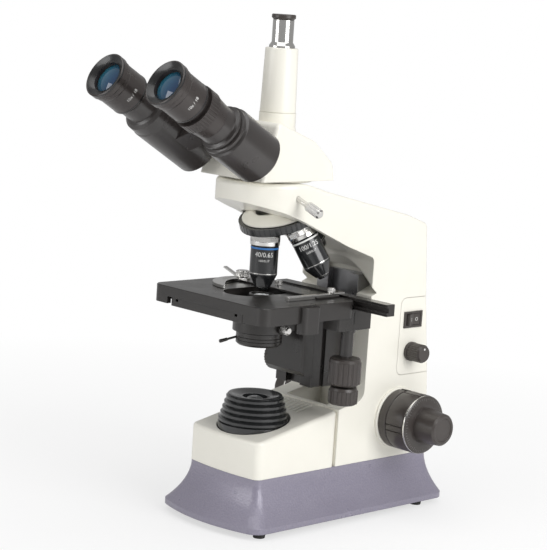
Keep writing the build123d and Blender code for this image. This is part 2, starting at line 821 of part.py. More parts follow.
def condenser_carrier():
    """Bracket with a split ring that holds the condenser."""
    body = block(-CARRIER_HALF, CARRIER_HALF, CARRIER_Y0, CARRIER_Y1, CARRIER_Z0, CARRIER_Z1)
    upright = body.edges().filter_by(Axis.Z).filter_by(lambda e: e.center().Y < CARRIER_Y0 + 1)
    body = chamfer(upright, 1.5)
    foot = body.edges().filter_by(Axis.X).filter_by(
        lambda e: e.center().Z < CARRIER_Z0 + 1 and e.center().Y < CARRIER_Y0 + 3
    )
    body = chamfer(foot, 4.0)
    body += block(-15, 15, 8, CARRIER_Y0 + 2, RING_Z0, CARRIER_Z1)
    body += rod(UP, RING_R, RING_Z0, CARRIER_Z1)
    body -= rod(UP, CONDENSER_NECK + RUN, RING_Z0 - 1, CARRIER_Z1 + 1)
    body += carrier_groove(0, CARRIER_Z0, CARRIER_Z1) & block(
        -20, 20, CARRIER_Y1 - 1, 60, CARRIER_Z0, CARRIER_Z1
    )
    return body - rod(screw_place(), 1.5 + RUN, 10, 40)


def screw_place():
    """Axis of the condenser's clamp screw, pointing right."""
    return Plane(origin=(0, 2.0, 160.5), x_dir=(0, 1, 0), z_dir=(1, 0, 0))


def condenser_screw():
    """Clamp screw of the condenser ring."""
    head = fluted(screw_place(), 3.6, 24, 31, 16, 0.5)
    head += turned(screw_place(), [(0, 31), (3.2, 31), (2.4, 32.4), (0, 32.4)])
    return head + rod(screw_place(), 1.5, 16.6, 24.5)


def condenser_body():
    """Condenser with its iris housing below the ring and a cone on top."""
    points = [
        (11, CONDENSER_Z0),
        (CONDENSER_R - 1.6, CONDENSER_Z0),
        (CONDENSER_R, CONDENSER_Z0 + 1.6),
        (CONDENSER_R, IRIS_Z0),
        (CONDENSER_R - 2.8, IRIS_Z0),
        (CONDENSER_R - 2.8, IRIS_Z1),
        (CONDENSER_R, IRIS_Z1),
        (CONDENSER_R, RING_Z0 - 1),
        (CONDENSER_R - 0.8, RING_Z0),
        (CONDENSER_NECK, RING_Z0),
        (CONDENSER_NECK, CARRIER_Z1 + 1.5),
        (13.5, CARRIER_Z1 + 2.5),
        (13.5, 171.5),
        (CONDENSER_TOP_R, 174.0),
        (CONDENSER_TOP_R, CONDENSER_TOP_Z - 0.8),
        (CONDENSER_TOP_R - 0.8, CONDENSER_TOP_Z),
        (8.9, CONDENSER_TOP_Z),
        (8.9, 182),
        (7.5, 182),
        (7.5, 176),
        (11, 168),
    ]
    return turned(UP, points)


def condenser_lens():
    """Top lens of the condenser, set in from above."""
    edge = Polyline((0, 182), (8.85, 182), (8.85, 184.4))
    face = make_face(edge + dome(8.85, 184.4, 186.0) + Line((0, 186.0), (0, 182)))
    return revolve(Plane.XZ * face, Axis.Z, 360)


def iris_ring():
    """Iris ring with its lever, pointing to the front left."""
    body = ring(UP, CONDENSER_R + 0.1, CONDENSER_R - 2.5, IRIS_Z0 + GAP, IRIS_Z1 - GAP)
    spot = (-0.60 * 18, -0.80 * 18, 150)
    lever = Plane(origin=spot, z_dir=(-0.55, -0.74, -0.30))
    body += rod(lever, 0.95, 0, 14.5)
    return body + turned(lever, [(0, 8), (1.3, 8), (1.5, 14), (1.0, 15), (0, 15)])


def condenser_knob():
    """Condenser height knob on the left of the focus block."""
    place = knob_place()
    knob = fluted(place, CKNOB_R, CKNOB_IN + 3, CKNOB_OUT - 1.5, 30, 0.8)
    knob += rod(place, CKNOB_R - 1.6, CKNOB_IN, CKNOB_IN + 3)
    knob += turned(
        place,
        [(0, CKNOB_OUT - 1.5), (CKNOB_R - 0.9, CKNOB_OUT - 1.5), (CKNOB_R - 2, CKNOB_OUT), (0, CKNOB_OUT)],
    )
    return knob + rod(place, 3.0, 10, CKNOB_IN + 1)


# Stage


def stage_base():
    """Lower plate on the focus block; the stage plate slides over it."""
    body = block(LOWER_X0, LOWER_X1, LOWER_Y0, LOWER_Y1, LOWER_Z0, STAGE_UNDER - GAP)
    corners = body.edges().filter_by(Axis.Z)
    body = fillet(corners, 4.0)
    body += block(-BLOCK_HALF, BLOCK_HALF, BLOCK_Y0, BLOCK_Y1 - 1, BLOCK_Z1, LOWER_Z0 + 1)
    opening = Pos(0, -2, 150) * extrude(SlotOverall(60, 2 * LOWER_HOLE_R, rotation=90), 60)
    body -= opening
    for x in (LOWER_X0 + 9, LOWER_X1 - 9):
        body -= Pos(x, 0, STAGE_UNDER - 2.0) * Box(3, 200, 2.0)
    return body


def stage_plate():
    """Stage plate with a skirt, a notch in front, the long opening and a side post."""
    middle = (STAGE_FRONT + STAGE_REAR) / 2
    depth = STAGE_REAR - STAGE_FRONT
    outline = RectangleRounded(2 * STAGE_HALF, depth, STAGE_CORNER)
    body = Pos(0, middle, STAGE_SKIRT) * extrude(outline, STAGE_TOP - STAGE_SKIRT)
    body = chamfer(body.faces().sort_by(Axis.Z)[-1].edges(), 0.5)
    inner = STAGE_HALF - STAGE_WALL
    body -= block(-inner, inner, STAGE_FRONT + STAGE_WALL, 60, 170, STAGE_UNDER)
    body -= block(NOTCH_X0, NOTCH_X1, STAGE_FRONT - 5, STAGE_FRONT + 6, 170, STAGE_UNDER)
    hole = SlotOverall(2 * OPENING_LONG, 2 * OPENING_HALF, rotation=90)
    body -= Pos(0, 0, 170) * extrude(hole, 40)
    post = Pos((60 + POST_OUT) / 2, -11, 166) * extrude(
        RectangleRounded(POST_OUT - 60, 19, 4.5), STAGE_TOP - 1.2 - 166
    )
    body += post - block(0, inner, -40, 40, 100, STAGE_UNDER)
    body += block(-60, 61, STAGE_REAR - 2, STAGE_REAR + 2.4, 183.5, 187.0)
    return body


def drive_housing():
    """Block and tube under the stage's right side for the two drive shafts."""
    x, y = DRIVE
    place = Plane((x, y, 0))
    body = block(NOTCH_X1 + GAP, STAGE_HALF - STAGE_WALL - GAP, 28, 66, DRIVE_Z0, STAGE_UNDER)
    edges = body.edges().filter_by(Axis.Z)
    body = fillet(edges, 2.0)
    body += rod(place, DRIVE_TUBE_R, TUBE_Z0, DRIVE_Z0 + 1)
    body += rod(place, DRIVE_TUBE_R + 1.2, DRIVE_Z0 - 2, DRIVE_Z0 + 1)
    body -= rod(place, OUTER_SHAFT_R + RUN, TUBE_Z0 - 1, 172)
    return body - rod(place, 6.2, 168, STAGE_UNDER - 1.5)


def y_drive_knob():
    """Upper knob with its hollow shaft, for front-to-back travel."""
    place = Plane((*DRIVE, 0))
    knob = fluted(place, Y_KNOB_R, Y_KNOB_Z0 + 1.6, Y_KNOB_Z1 - 3.0, FLUTES, 1.2)
    knob += turned(
        place,
        [
            (0, Y_KNOB_Z1 - 3.0),
            (Y_KNOB_R - 0.3, Y_KNOB_Z1 - 3.0),
            (Y_KNOB_R - 0.6, Y_KNOB_Z1 - 0.8),
            (Y_KNOB_R - 1.6, Y_KNOB_Z1),
            (0, Y_KNOB_Z1),
        ],
    )
    knob += turned(
        place,
        [
            (0, Y_KNOB_Z0),
            (Y_KNOB_R - 2.2, Y_KNOB_Z0),
            (Y_KNOB_R - 0.9, Y_KNOB_Z0 + 1.6),
            (0, Y_KNOB_Z0 + 1.6),
        ],
    )
    knob += rod(place, OUTER_SHAFT_R, Y_KNOB_Z1 - 1, 171)
    knob += rod(place, 5.6, 168.4, 171)
    return knob - rod(place, INNER_SHAFT_R + RUN, 90, 200)


def x_drive_knob():
    """Lower knob with the inner shaft, for left-to-right travel."""
    place = Plane((*DRIVE, 0))
    knob = fluted(place, X_KNOB_R, X_KNOB_Z0 + 1.2, X_KNOB_Z1 - 2.4, FLUTES, 1.1)
    knob += turned(
        place,
        [
            (0, X_KNOB_Z1 - 2.4),
            (X_KNOB_R - 0.3, X_KNOB_Z1 - 2.4),
            (X_KNOB_R - 1.4, X_KNOB_Z1),
            (0, X_KNOB_Z1),
        ],
    )
    knob += turned(
        place,
        [(0, X_KNOB_Z0), (X_KNOB_R - 1.9, X_KNOB_Z0), (X_KNOB_R - 0.8, X_KNOB_Z0 + 1.2), (0, X_KNOB_Z0 + 1.2)],
    )
    knob += rod(place, INNER_SHAFT_R, X_KNOB_Z1 - 1, 177)
    return knob + rod(place, 5.4, 172.5, 177)


def x_bar():
    """Grooved bar that carries the slide holder across the stage."""
    body = block(BAR_X0, BAR_X1, BAR_Y0, BAR_Y1, BAR_Z0, BAR_Z1)
    body -= block(BAR_X0 - 1, BAR_X1 + 1, BAR_Y0 - 1, STAGE_REAR + 2.4 + GAP, 183.2, 187.3)
    for z in (181.6, 188.5):
        body -= block(BAR_X0 - 1, BAR_X1 + 1, BAR_Y0 - 1, BAR_Y0 + 0.9, z - 0.4, z + 0.4)
    return body


def holder_plate():
    """Slide holder: a thin plate on the stage, fixed on top of the X bar."""
    lower = Pos(0, 0, HOLDER_Z) * extrude(
        make_face(
            Polyline(
                (-52, HOLDER_FRONT),
                (50, HOLDER_FRONT),
                (50, 38),
                (44, 42.4),
                (-30, 42.4),
                (-38, 30),
                (-52, 27),
                close=True,
            )
        ),
        BAR_Z1 - HOLDER_Z,
    )
    upper = block(-24, 43.3, 39, BAR_Y1 - 1, BAR_Z1, BAR_Z1 + 1.4)
    body = lower + upper
    for x, y in (PIVOT, SCREW_A):
        body -= rod(Plane((x, y, 0)), 2.0 + RUN, 180, 200)
    return body


def fixed_jaw():
    """Chrome jaw that the slide's right end rests against."""
    body = block(44, 48.5, -17, 46, BAR_Z1, BAR_Z1 + 2.0)
    body += block(44, 48.5, -17, HOLDER_FRONT - GAP, HOLDER_Z, BAR_Z1)
    edges = body.faces().sort_by(Axis.Z)[-1].edges().filter_by(Axis.Y)
    return chamfer(edges, 0.6)


def thumb_screw(x, y, z, head_r, head_h):
    """Knurled thumb screw standing at z."""
    place = Plane((x, y, 0))
    head = fluted(place, head_r, z + 0.6, z + head_h - 0.6, 20, head_r * 0.09)
    head += rod(place, head_r * 0.82, z, z + head_h)
    return head


def holder_screws():
    """Three chrome thumb screws; the large one is the finger's pivot."""
    pivot = thumb_screw(*PIVOT, 191.5, 5.8, 5.5) + rod(Plane((*PIVOT, 0)), 2.0, HOLDER_Z, 192)
    middle = thumb_screw(*SCREW_A, BAR_Z1, 3.2, 4.2) + rod(
        Plane((*SCREW_A, 0)), 2.0, HOLDER_Z, BAR_Z1 + 1
    )
    right = thumb_screw(*SCREW_B, BAR_Z1 + 2.0, 3.2, 4.2)
    return Compound([*pivot.solids(), *middle.solids(), *right.solids()])


def slide_clip():
    """Finger that holds the slide: crescent claw in front, raised lever tail behind."""
    x, y = PIVOT
    claw = Spline((x + 6.2, y - 3.5), (x + 4.5, y - 17), (x + 13, y - 31), (x + 27, y - 44)) + Spline(
        (x + 27, y - 44), (x + 8, y - 40), (x - 6.5, y - 22), (x - 6.6, y - 1.0)
    )
    close = Line((x - 6.6, y - 1.0), (x + 6.2, y - 3.5))
    body = Pos(0, 0, BAR_Z1 + 0.05) * extrude(make_face(claw + close), 1.2)
    low = Pos(0, 0, HOLDER_Z + 0.1) * extrude(make_face(claw + close), 1.8)
    front = block(-100, 100, -100, HOLDER_FRONT - 0.5 - y, 0, 300)
    low = low & Pos(x, y, 0) * front & Pos(x, y, 0) * (Rot(0, 0, CLIP_SWING) * front)
    body += low
    body += rod(Plane((x, y, 0)), 6.6, BAR_Z1 + 0.05, BAR_Z1 + 1.25)
    body -= rod(Plane((x, y, 0)), 2.0 + RUN, 180, 200)
    tail = Plane(origin=(x - 5.0, y + 0.5, BAR_Z1 + 0.65), x_dir=(0, 1, 0), z_dir=(-0.95, 0.02, 0.3))
    body += tail * extrude(Pos(0, 0, 0) * Rectangle(3.6, 1.2), 19) & block(-90, -50.5, 0, 60, 190.05, 240)
    return body


# Nosepiece


def seat_place(index):
    """Seat of one objective: origin at the shoulder, z down along the objective."""
    turret = turret_place()
    angle = math.radians(90 * index)
    # Index 0 is the working one in front, 1 on the right, 2 behind, 3 on the left.
    across = turret.x_dir * math.sin(angle) + turret.y_dir * (
        math.cos(angle) * (1 if turret.y_dir.Y < 0 else -1)
    )
    lean = math.radians(TILT)
    origin = turret.origin + across * SEAT_CIRCLE
    down = turret.z_dir * math.cos(lean) + across * math.sin(lean)
    return Plane(origin=origin, z_dir=down)


def nosepiece_mount():
    """Painted dome under the nose, with the turret's spindle and the light's bore."""
    points = [
        (0, MOUNT_TOP),
        (MOUNT_TOP_R, MOUNT_TOP),
        (MOUNT_R, GRIP_T1 - 1.6),
        (MOUNT_R, GRIP_T1 - GAP),
        (SPINDLE_R, GRIP_T1 - GAP),
        (SPINDLE_R, -2.0),
        (0, -2.0),
    ]
    return turned(turret_place(), points) - rod(UP, 9.0, 200, 300)


def turret_disc():
    """Turret with four threaded seats on a shallow cone."""
    slope = math.tan(math.radians(TILT))
    points = [
        (SPINDLE_R + RUN, DISC_TOP),
        (DISC_R, DISC_TOP),
        (DISC_R, (SEAT_CIRCLE - DISC_R) * slope - 0.8),
        (DISC_R - 1, (SEAT_CIRCLE - DISC_R + 1) * slope - 0.4),
        (12, (SEAT_CIRCLE - 12) * slope - 0.6),
        (8, 2.6),
        (0, 2.6),
        (0, -1.5),
        (SPINDLE_R + RUN, -1.5),
    ]
    disc = turned(turret_place(), points)
    for i in range(4):
        disc += rod(seat_place(i), 12.6, -4, 0) & rod(turret_place(), DISC_R, DISC_TOP, 30)
    for i in range(4):
        disc -= rod(seat_place(i), THREAD_R + 0.08, -30, 5)
    return disc


def turret_grip():
    """Knurled ring round the turret."""
    body = fluted(turret_place(), GRIP_R, GRIP_T1, GRIP_T0, 48, 0.7)
    return body - rod(turret_place(), DISC_R, -40, 20)


def objective(index, points):
    """One objective: thread above the shoulder, then the given outline."""
    outline = [(6.5, -4.5), (THREAD_R, -4.5), (THREAD_R, 0), *points]
    return turned(seat_place(index), outline)


def objective_40x():
    """Objective 40x, the working one in the photograph."""
    return objective(
        0,
        [
            (OBJECTIVE_R, 0),
            (OBJECTIVE_R, 8.6),
            (OBJECTIVE_R - 0.9, 9.0),
            (OBJECTIVE_R - 0.4, 9.4),
            (OBJECTIVE_R - 0.4, 32.3),
            (10.2, 34.8),
            (6.4, 42.6),
            (5.2, 42.8),
            (4.4, 44.4),
            (2.0, 44.4),
            (2.0, 40),
            (6.5, 30),
        ],
    )


def objective_100x():
    """Oil objective 100x on the right."""
    return objective(
        1,
        [
            (OBJECTIVE_R, 0),
            (OBJECTIVE_R, 8.6),
            (OBJECTIVE_R - 0.9, 9.0),
            (OBJECTIVE_R - 0.4, 9.4),
            (OBJECTIVE_R - 0.4, 33.0),
            (10.0, 35.4),
            (6.0, 42.4),
            (4.8, 42.6),
            (4.0, 44.8),
            (1.6, 44.8),
            (1.6, 40),
            (6.5, 30),
        ],
    )


def objective_10x():
    """Objective 10x behind."""
    return objective(
        2,
        [
            (OBJECTIVE_R, 0),
            (OBJECTIVE_R, 8.6),
            (OBJECTIVE_R - 0.9, 9.0),
            (OBJECTIVE_R - 0.4, 9.4),
            (OBJECTIVE_R - 0.4, 27.0),
            (8.0, 31.5),
            (7.2, 37.0),
            (4.5, 37.0),
            (4.5, 33),
            (6.5, 28),
        ],
    )


def objective_4x():
    """Objective 4x on the left."""
    return objective(
        3,
        [
            (OBJECTIVE_R, 0),
            (OBJECTIVE_R, 8.6),
            (OBJECTIVE_R - 0.9, 9.0),
            (OBJECTIVE_R - 0.4, 9.4),
            (OBJECTIVE_R - 0.4, 20.0),
            (9.0, 22.0),
            (8.4, 27.0),
            (5.5, 27.0),
            (5.5, 24),
            (6.5, 21),
        ],
    )


def objective_lenses():
    """Front lenses of the four objectives."""
    sizes = ((0, 2.0, 40.6, 44.1), (1, 1.6, 40.6, 44.5), (2, 4.5, 33.6, 36.4), (3, 5.5, 24.4, 26.4))
    made = []
    for index, radius, start, end in sizes:
        made += rod(seat_place(index), radius - 0.02, start, end).solids()
    return Compound(made)


# Head


def clamp_place():
    """Axis of the head's clamp screw, pointing out to the right and down."""
    drop = math.radians(CLAMP_DROP)
    return Plane(origin=CLAMP, x_dir=(0, 1, 0), z_dir=(math.cos(drop), 0, -math.sin(drop)))


def head_screw():
    """Clamp screw with a thin neck and a long knurled grip."""
    place = clamp_place()
    screw = rod(place, 2.2, -18.5, 12)
    screw += fluted(place, 4.0, 12, 25, 18, 0.55)
    return screw + turned(place, [(0, 10.6), (3.0, 10.6), (3.6, 12), (3.6, 25), (2.8, 26.6), (0, 26.6)])


def tube_place(side):
    """Axis of one eyepiece tube: origin at the rim, z down towards the head."""
    lean = math.radians(INCLINATION)
    down = (0, math.cos(lean), -math.sin(lean))
    return Plane(origin=(side * TUBE_X, RIM_Y, RIM_Z), x_dir=(1, 0, 0), z_dir=down)


def hinge_place():
    """Axis of the binocular's hinge, parallel to the tubes and above their plane."""
    lean = math.radians(INCLINATION)
    down = (0, math.cos(lean), -math.sin(lean))
    y = RIM_Y + PIVOT_ABOVE * math.sin(lean)
    z = RIM_Z + PIVOT_ABOVE * math.cos(lean)
    return Plane(origin=(0, y, z), x_dir=(1, 0, 0), z_dir=down)


def head_outline():
    """Side outline of the head with its rounded rear."""
    corners = [
        ((-42.3, HEAD_BOTTOM), 0),
        ((-28.5, 328.4), 5),
        ((13.5, 312.8), 14),
        ((34.8, 295.0), 10),
        ((37.0, HEAD_BOTTOM), 0),
    ]
    face = make_face(Polyline(*[c[0] for c in corners], close=True))
    for (y, z), radius in corners:
        if radius:
            near = face.vertices().sort_by_distance((y, z, 0))[0]
            face = fillet(near, radius)
    return face


def head_housing():
    """Prism head with dovetail foot, photo tube boss and the binocular's hinge barrel."""
    body = extrude(Plane.YZ * head_outline(), amount=HEAD_HALF, both=True)
    rim = body.edges().filter_by(lambda e: abs(abs(e.center().X) - HEAD_HALF) < 0.1)
    rim = rim.filter_by(lambda e: e.center().Z > HEAD_BOTTOM + 0.1)
    body = fillet(rim, HEAD_EDGE)
    boss = Plane((0, PHOTO_Y, 0))
    body += rod(boss, BOSS_R, 300, SEAM_Z)
    body += turned(boss, [(0, 305), (BOSS_R + 4, 305), (BOSS_R + 2, 314), (BOSS_R, 322), (0, 322)])
    body += turned(
        UP,
        [
            (0, 275.4),
            (DOVETAIL_R, 275.4),
            (DOVETAIL_R - 1.4, NOSE_TOP + GAP),
            (34, NOSE_TOP + GAP),
            (34, HEAD_BOTTOM + 0.5),
            (0, HEAD_BOTTOM + 0.5),
        ],
    )
    barrel_start = LEFT_HUB[0] - 1.5
    body += rod(hinge_place(), HINGE_R, barrel_start, 128)
    body += rod(hinge_place(), HUB_R - 1, RIGHT_HUB[1] + GAP, 128)
    inside = side_view(
        [(-34, 286), (-22.5, 321), (10, 308.5), (29, 292.5), (31.5, 286)], HEAD_HALF - 5
    )
    body -= inside
    body -= rod(boss, 10.0, 300, 340)
    body -= rod(UP, 10.0, 270, 290)
    return body - rod(hinge_place(), 6.0, barrel_start + 4, 130)


def photo_tube():
    """Painted tube, slightly tapered."""
    points = [
        (10.0, SEAM_Z),
        (TUBE_R0 - 0.5, SEAM_Z),
        (TUBE_R0, SEAM_Z + 0.5),
        (TUBE_R1, TUBE_TOP - 0.6),
        (TUBE_R1 - 0.6, TUBE_TOP),
        (7.0, TUBE_TOP),
        (7.0, TUBE_TOP - 5),
        (10.0, TUBE_TOP - 5),
    ]
    return turned(Plane((0, PHOTO_Y, 0)), points)


def photo_port():
    """Chrome port for a camera adapter."""
    points = [
        (6.0, TUBE_TOP),
        (PORT_FOOT_R, TUBE_TOP),
        (PORT_FOOT_R, TUBE_TOP + 1.6),
        (PORT_R + 0.5, PORT_FOOT_Z - 0.6),
        (PORT_R, PORT_FOOT_Z),
        (PORT_R, PORT_TOP - 0.5),
        (PORT_R - 0.5, PORT_TOP),
        (6.0, PORT_TOP),
    ]
    return turned(Plane((0, PHOTO_Y, 0)), points)


def photo_cap():
    """Push-in cap with a bevelled underside."""
    points = [
        (0, PORT_TOP - CAP_PLUG),
        (5.95, PORT_TOP - CAP_PLUG),
        (5.95, PORT_TOP),
        (PORT_R, PORT_TOP),
        (CAP_R, PORT_TOP + 1.2),
        (CAP_R, TOTAL_HEIGHT - 0.6),
        (CAP_R - 0.6, TOTAL_HEIGHT),
        (0, TOTAL_HEIGHT),
    ]
    return turned(Plane((0, PHOTO_Y, 0)), points)


# Binocular


def hub_arm(side, hub):
    """Ring on the hinge and the web that joins it to one prism housing."""
    start, end = hub
    arm_ring = rod(hinge_place(), HUB_R, start, end)
    place = tube_place(side)
    pivot_y = -PIVOT_ABOVE
    web = make_face(
        Polyline(
            (-side * TUBE_X - side * 2, pivot_y - HUB_R + 1.5),
            (-side * 14, pivot_y + 4 - HOUSING_R + 8),
            (-side * 14, 14),
            (-side * TUBE_X - side * -1, pivot_y + HUB_R - 0.5),
            close=True,
        )
    )
    return arm_ring + place * (Pos(0, 0, start) * extrude(web, end - start))


def prism_housing(side, hub, neck):
    """Swinging prism housing: neck outline, round body, hinge ring and bores."""
    place = tube_place(side)
    body = turned(
        place,
        [
            (0, neck[0][1]),
            *neck,
            (HOUSING_R, HOUSING_END - 3),
            (HOUSING_R - 3, HOUSING_END),
            (0, HOUSING_END),
        ],
    )
    body += hub_arm(side, hub)
    body -= rod(hinge_place(), HINGE_R + RUN, 60, 130)
    body -= rod(place, EYE_TUBE_R + RUN, 0, 62)
    return body - rod(place, HOUSING_R - 6, 80, HOUSING_END - 4)


def left_prism_housing():
    """Left prism housing with a plain neck and a stepped shoulder."""
    neck = [(15.2, 31.3), (15.2, 46), (17.5, 47), (20.0, 49), (20.4, 56.5), (21.0, 58)]
    return prism_housing(-1, LEFT_HUB, neck)


def right_prism_housing():
    """Right prism housing; its slim neck carries the dioptre ring."""
    neck = [
        (14.2, 31.6),
        (14.2, 55.3),
        (15.6, 55.3),
        (15.6, 65),
        (18.2, 66),
        (18.2, 67.6),
        (17.2, 68.2),
        (17.2, 69.0),
        (19.8, 69.8),
        (19.8, 71.6),
        (18.8, 72.2),
        (18.8, 73.0),
        (21.0, 74.4),
    ]
    return prism_housing(1, RIGHT_HUB, neck)


def dioptre_ring():
    """Dioptre ring: fluted grip above a smooth cone."""
    place = tube_place(1)
    ring_body = fluted(place, 17.8, 34, 44, 40, 0.7)
    ring_body += turned(place, [(0, 44), (17.2, 44), (15.8, 55), (0, 55)])
    return ring_body - rod(place, 14.2 + RUN, 30, 60)


def eyepiece(side):
    """Eyepiece with a flared rim, a grip band and the tube that drops into the housing."""
    points = [
        (12.5, 3.2),
        (14.5, 1.4),
        (16.8, 0.6),
        (17.6, 0),
        (EYE_RIM_R, 0.6),
        (EYE_RIM_R, 5.6),
        (EYE_RIM_R - 0.8, 6.4),
        (EYE_RIM_R - 1.0, 10),
        (EYE_BODY_R, 11),
        (EYE_BODY_R, EYE_LENGTH - 1.2),
        (EYE_BODY_R - 0.8, EYE_LENGTH),
        (EYE_TUBE_R, EYE_LENGTH),
        (EYE_TUBE_R, EYE_LENGTH + 22),
        (10.2, EYE_LENGTH + 22),
        (10.2, 14),
        (12.5, 14),
    ]
    return turned(tube_place(side), points)


def eyepiece_lens(side):
    """Coated eye lens, biconvex."""
    edge = Polyline((0, 14), (12.4, 14), (12.4, 6.5))
    face = make_face(edge + dome(12.4, 6.5, 3.4) + Line((0, 3.4), (0, 14)))
    return tube_place(side) * revolve(Plane.XZ * face, Axis.Z, 360)


if __name__ == "__main__":
    single = [
        base_skirt, bottom_plate, feet, lamp_housing, arm, lens_collar, field_lens, lamp_bulb,
        lamp_socket, power_board, electrics_cover, switch_frame, power_inlet, nosepiece_mount,
        focus_bearings, guide_rail, power_rocker, dimmer_knob, tension_ring, coarse_knobs,
        coarse_shaft, fine_knobs, fine_shaft, focus_slide, focus_rack, stage_base, stage_plate,
        drive_housing, y_drive_knob, x_drive_knob, x_bar, holder_plate, fixed_jaw,
        holder_screws, slide_clip, condenser_carrier, condenser_body, condenser_lens,
        condenser_screw, condenser_knob, iris_ring, turret_disc, turret_grip, objective_4x,
        objective_10x, objective_40x, objective_100x, objective_lenses, head_housing,
        photo_tube, photo_port, photo_cap, head_screw, left_prism_housing,
        right_prism_housing, dioptre_ring,
    ]
    for make in single:
        write(make.__name__, make())
    for side, name in ((-1, "left"), (1, "right")):
        write(f"{name}_eyepiece", eyepiece(side))
        write(f"{name}_eyepiece_lens", eyepiece_lens(side))
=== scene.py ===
# %% [markdown]
# A trinocular microscope, dressed on its CAD model.
# The CAD solids already have the true shapes and stay where they are. This script gives each
# of them its finish and adds the small things that a solid model leaves out: printed
# numbers, graduations, seams, knurling and the paint's own texture.

import math

import bmesh
import bpy
from mathutils import Matrix, Vector


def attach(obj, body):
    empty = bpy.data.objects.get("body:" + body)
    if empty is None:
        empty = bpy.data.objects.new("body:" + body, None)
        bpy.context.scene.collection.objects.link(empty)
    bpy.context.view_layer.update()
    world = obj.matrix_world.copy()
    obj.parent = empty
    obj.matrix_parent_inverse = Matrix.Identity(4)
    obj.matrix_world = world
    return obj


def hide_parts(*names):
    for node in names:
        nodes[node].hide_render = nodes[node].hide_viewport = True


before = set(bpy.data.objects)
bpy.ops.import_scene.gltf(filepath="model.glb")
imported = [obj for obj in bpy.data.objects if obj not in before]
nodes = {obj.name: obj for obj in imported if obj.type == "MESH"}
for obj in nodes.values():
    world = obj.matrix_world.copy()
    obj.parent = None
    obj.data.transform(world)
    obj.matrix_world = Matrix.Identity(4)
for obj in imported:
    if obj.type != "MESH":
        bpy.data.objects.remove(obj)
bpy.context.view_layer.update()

# %% [markdown]
# The drawing measures everything from the optical axis, with x to the user's right and z up
# from the table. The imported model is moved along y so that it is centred, so one helper turns
# a place in millimetres about the optical axis into a place in the scene.

# %% places in millimetres
AXIS_Y = -13.2


def place(x, y, z):
    """A point given in millimetres about the optical axis."""
    return Vector((x / 1000, (y + AXIS_Y) / 1000, z / 1000))


MM = 0.001
print("optical axis at", tuple(round(v, 4) for v in place(0, 0, 0)))

# %% [markdown]
# The camera repeats the photograph's viewpoint. It was found by fitting the parallel edges of
# stage, base and tubes; the picture leans a few degrees, which is the roll.

# %% camera
SENSOR_WIDTH = 36
FOCAL_LENGTH_PX, PICTURE_PX = 1844.13, 550
CAMERA_AT = (1058.1, -1019.0, 429.2)
TURN_DEG, LIFT_DEG, ROLL_DEG = 45.749, 8.801, 3.791

camera_data = bpy.data.cameras.new("camera")
camera_data.lens = SENSOR_WIDTH * FOCAL_LENGTH_PX / PICTURE_PX
camera_data.clip_start, camera_data.clip_end = 0.05, 20
camera = bpy.data.objects.new("camera", camera_data)
bpy.context.scene.collection.objects.link(camera)
turn, lift, roll = math.radians(TURN_DEG), math.radians(LIFT_DEG), math.radians(ROLL_DEG)
level = Vector((math.cos(turn), math.sin(turn), 0))
back = Vector((math.sin(turn) * math.cos(lift), -math.cos(turn) * math.cos(lift), math.sin(lift)))
above = back.cross(level)
picture_right = level * math.cos(roll) + above * math.sin(roll)
picture_up = above * math.cos(roll) - level * math.sin(roll)
camera.matrix_world = Matrix.Translation(place(*CAMERA_AT)) @ Matrix(
    (picture_right, picture_up, back)
).transposed().to_4x4()
bpy.context.scene.camera = camera
print("camera at", tuple(round(v, 3) for v in camera.location))

# %% [markdown]
# A studio product picture: a white sweep, one broad lamp on the right, a softer one on the
# left and a wide one above. The world shows white to the camera and through glass, and
# lights the object less than that, so that the paint keeps its own colour. The floor keeps
# the object's soft shadow near it and fades to plain white further out, so no horizon shows.

# %% floor and light
WORLD_LIGHT = 0.50
FLOOR_HALF = 3.0
FLOOR_Z = -0.0002
FLOOR_GREY = (0.92, 0.92, 0.92, 1)
FADE_START, FADE_END = 0.10, 0.75
WHITE_NEAR, WHITE_FAR = 0.62, 1.0
LAMP_AIM = (0, 0, 0.2)
LAMPS = (
    ("lamp_right", (1.3, 0.1, 0.75), 0.9, 13),
    ("lamp_left", (-0.5, -1.4, 0.6), 0.8, 6),
    ("lamp_above", (0.1, -0.2, 1.5), 1.2, 8),
)

bpy.context.scene.view_settings.view_transform = "Standard"
world = bpy.data.worlds.new("studio")
bpy.context.scene.world = world
world.use_nodes = True
tree = world.node_tree
tree.nodes.clear()
soft = tree.nodes.new("ShaderNodeBackground")
soft.inputs["Strength"].default_value = WORLD_LIGHT
white = tree.nodes.new("ShaderNodeBackground")
white.inputs["Color"].default_value = (1, 1, 1, 1)
rays = tree.nodes.new("ShaderNodeLightPath")
mix = tree.nodes.new("ShaderNodeMixShader")
background_seen = tree.nodes.new("ShaderNodeMath")
background_seen.operation = "MAXIMUM"
tree.links.new(rays.outputs["Is Camera Ray"], background_seen.inputs[0])
tree.links.new(rays.outputs["Is Transmission Ray"], background_seen.inputs[1])
tree.links.new(background_seen.outputs[0], mix.inputs[0])
tree.links.new(soft.outputs[0], mix.inputs[1])
tree.links.new(white.outputs[0], mix.inputs[2])
tree.links.new(mix.outputs[0], tree.nodes.new("ShaderNodeOutputWorld").inputs[0])


def lamp(name, where, aim, size, power):
    """A square soft lamp at one place, pointed at another."""
    data = bpy.data.lights.new(name, "AREA")
    data.shape = "SQUARE"
    data.size = size
    data.energy = power
    obj = bpy.data.objects.new(name, data)
    bpy.context.scene.collection.objects.link(obj)
    obj.location = where
    obj.rotation_mode = "QUATERNION"
    obj.rotation_quaternion = (Vector(aim) - Vector(where)).to_track_quat("-Z", "Y")


for name, where, size, power in LAMPS:
    lamp(name, where, LAMP_AIM, size, power)

